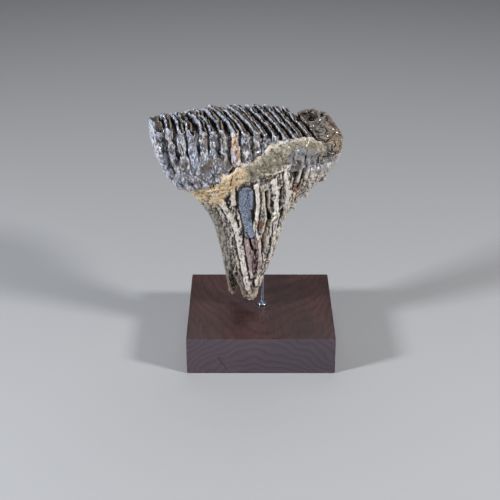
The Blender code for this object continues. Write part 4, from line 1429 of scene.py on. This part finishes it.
def make_heel_finish():
    """Brown dentine, cream on its proud knots and edges as painted highlight, golden at its right end, glossy
    grey on its side, and painted shade in its hollows.
    """
    material, wire, feed = new_finish("heel dentine", coat_roughness=0.15, specular_ior_level=0.6)
    own = places(wire)
    speck = clouds(own, 0.0014, 3.0, 0.65)
    patch = clouds(own, 0.008, 3.0, 0.6)
    wrinkle = clouds(places(wire, (0.35, 1.0, 1.0), (0.0, 0.0, -heel_turn)), 0.0024, 3.0, 0.55, 0.6)
    mottle = clouds(own, 0.0040, 4.0, 0.7)
    hollow, deep, top, gold, pit = marked(wire, "hollow", "deep", "top", "gold", "pit")
    side = 1.0 - top
    colour = coats(
        HEEL_BROWN,
        (HEEL_GREY, between(patch, 0.42, 0.60)),
        # Cream on the mottling, more on proud knots and edges and on the sides, as painted highlight; the
        # wrinkles' cream is tone.
        (HEEL_CREAM_AND_HIGHLIGHT, between(deep * -0.8 + mottle, 0.50, 0.75) * (0.15 + side * 0.40)),
        (HEEL_CREAM_AND_HIGHLIGHT, between(wrinkle, 0.56, 0.70) * 0.25),
        (HEEL_CREAM_AND_HIGHLIGHT, between(deep * -1.0 + (mottle - 0.5), 0.20, 0.60) * (0.25 + side * 0.35)),
        (GLAZE_GREY, side * between(patch, 0.45, 0.58) * 0.7),
        (HEEL_GOLD, between(mottle, 0.40, 0.56) * gold * 0.85),
        (PIT_PURPLE, pit * 0.85),
        # Painted shade in the hollows.
        (DARK_TONE_AND_SHADE, between(hollow, 0.25, 0.9) * 0.55),
        (DARK_TONE_AND_SHADE, between(deep, 0.10, 0.80) * 0.80),
    )
    feed("Base Color", colour)
    feed("Roughness", 0.28 + speck * 0.28)
    feed("Coat Weight", 0.9 * between(patch - deep * 0.4, 0.30, 0.55))
    feed("Normal", raised(wrinkle * 0.7 + mottle * 1.2 + speck * 0.5, 0.0010))
    return material


def weather_heel(thing):
    """Wears knots, folds and wrinkles into the heel and a pit in its top, and marks them."""
    points, normals = points_of(thing), normals_of(thing)
    top = ease(normals[:, 2] * 2.0)
    sink = HEEL_SWELL_DEPTH * (1.0 + lumps(points, *HEEL_SWELL))
    sink = sink + HEEL_CREASE_DEPTH * creases(points, *HEEL_CREASES)
    sink = sink + HEEL_GRAIN_DEPTH * np.clip(lumps(points, *HEEL_GRAIN), -0.5, 1.0)
    sink = sink + HEEL_KNOT_DEPTH * tops(lumps(points, *HEEL_KNOTS), 0.1)
    sink = sink + HEEL_FOLD_DEPTH * creases(points, *HEEL_FOLDS)
    sink = sink + (1.0 - top) * HEEL_RIB_DEPTH * creases(points, *HEEL_RIBS)
    gap = np.hypot(points[:, 0] - PIT_MIDDLE[0], points[:, 1] - PIT_MIDDLE[1]) / PIT_RADIUS
    rim = np.exp(-(((gap - PIT_RIM[0]) / PIT_RIM[1]) ** 2)) * top
    sink = sink * (1.0 - 0.8 * rim) + PIT_DEPTH * ease((1.0 - gap) * 2.5) * top
    move_points(thing, points - normals * np.clip(sink, 0.0, None)[:, None])
    mark(thing, "pit", ease((PIT_RIM[0] - gap) * 3.0) * top)
    mark(thing, "top", top)
    mark(thing, "gold", ease((points[:, 0] - GOLD_FROM[0]) / GOLD_FROM[1]))
    mark_hollows(thing, HEEL_HOLLOWS)


heel = own_copy("heel")
remesh(heel, HEEL_VOXEL, HEEL_SOFTENING)
weather_heel(heel)
pick(heel)
bpy.ops.object.shade_smooth()
finish_piece(heel, "heel_lump", make_heel_finish(), "dentine", "heel")
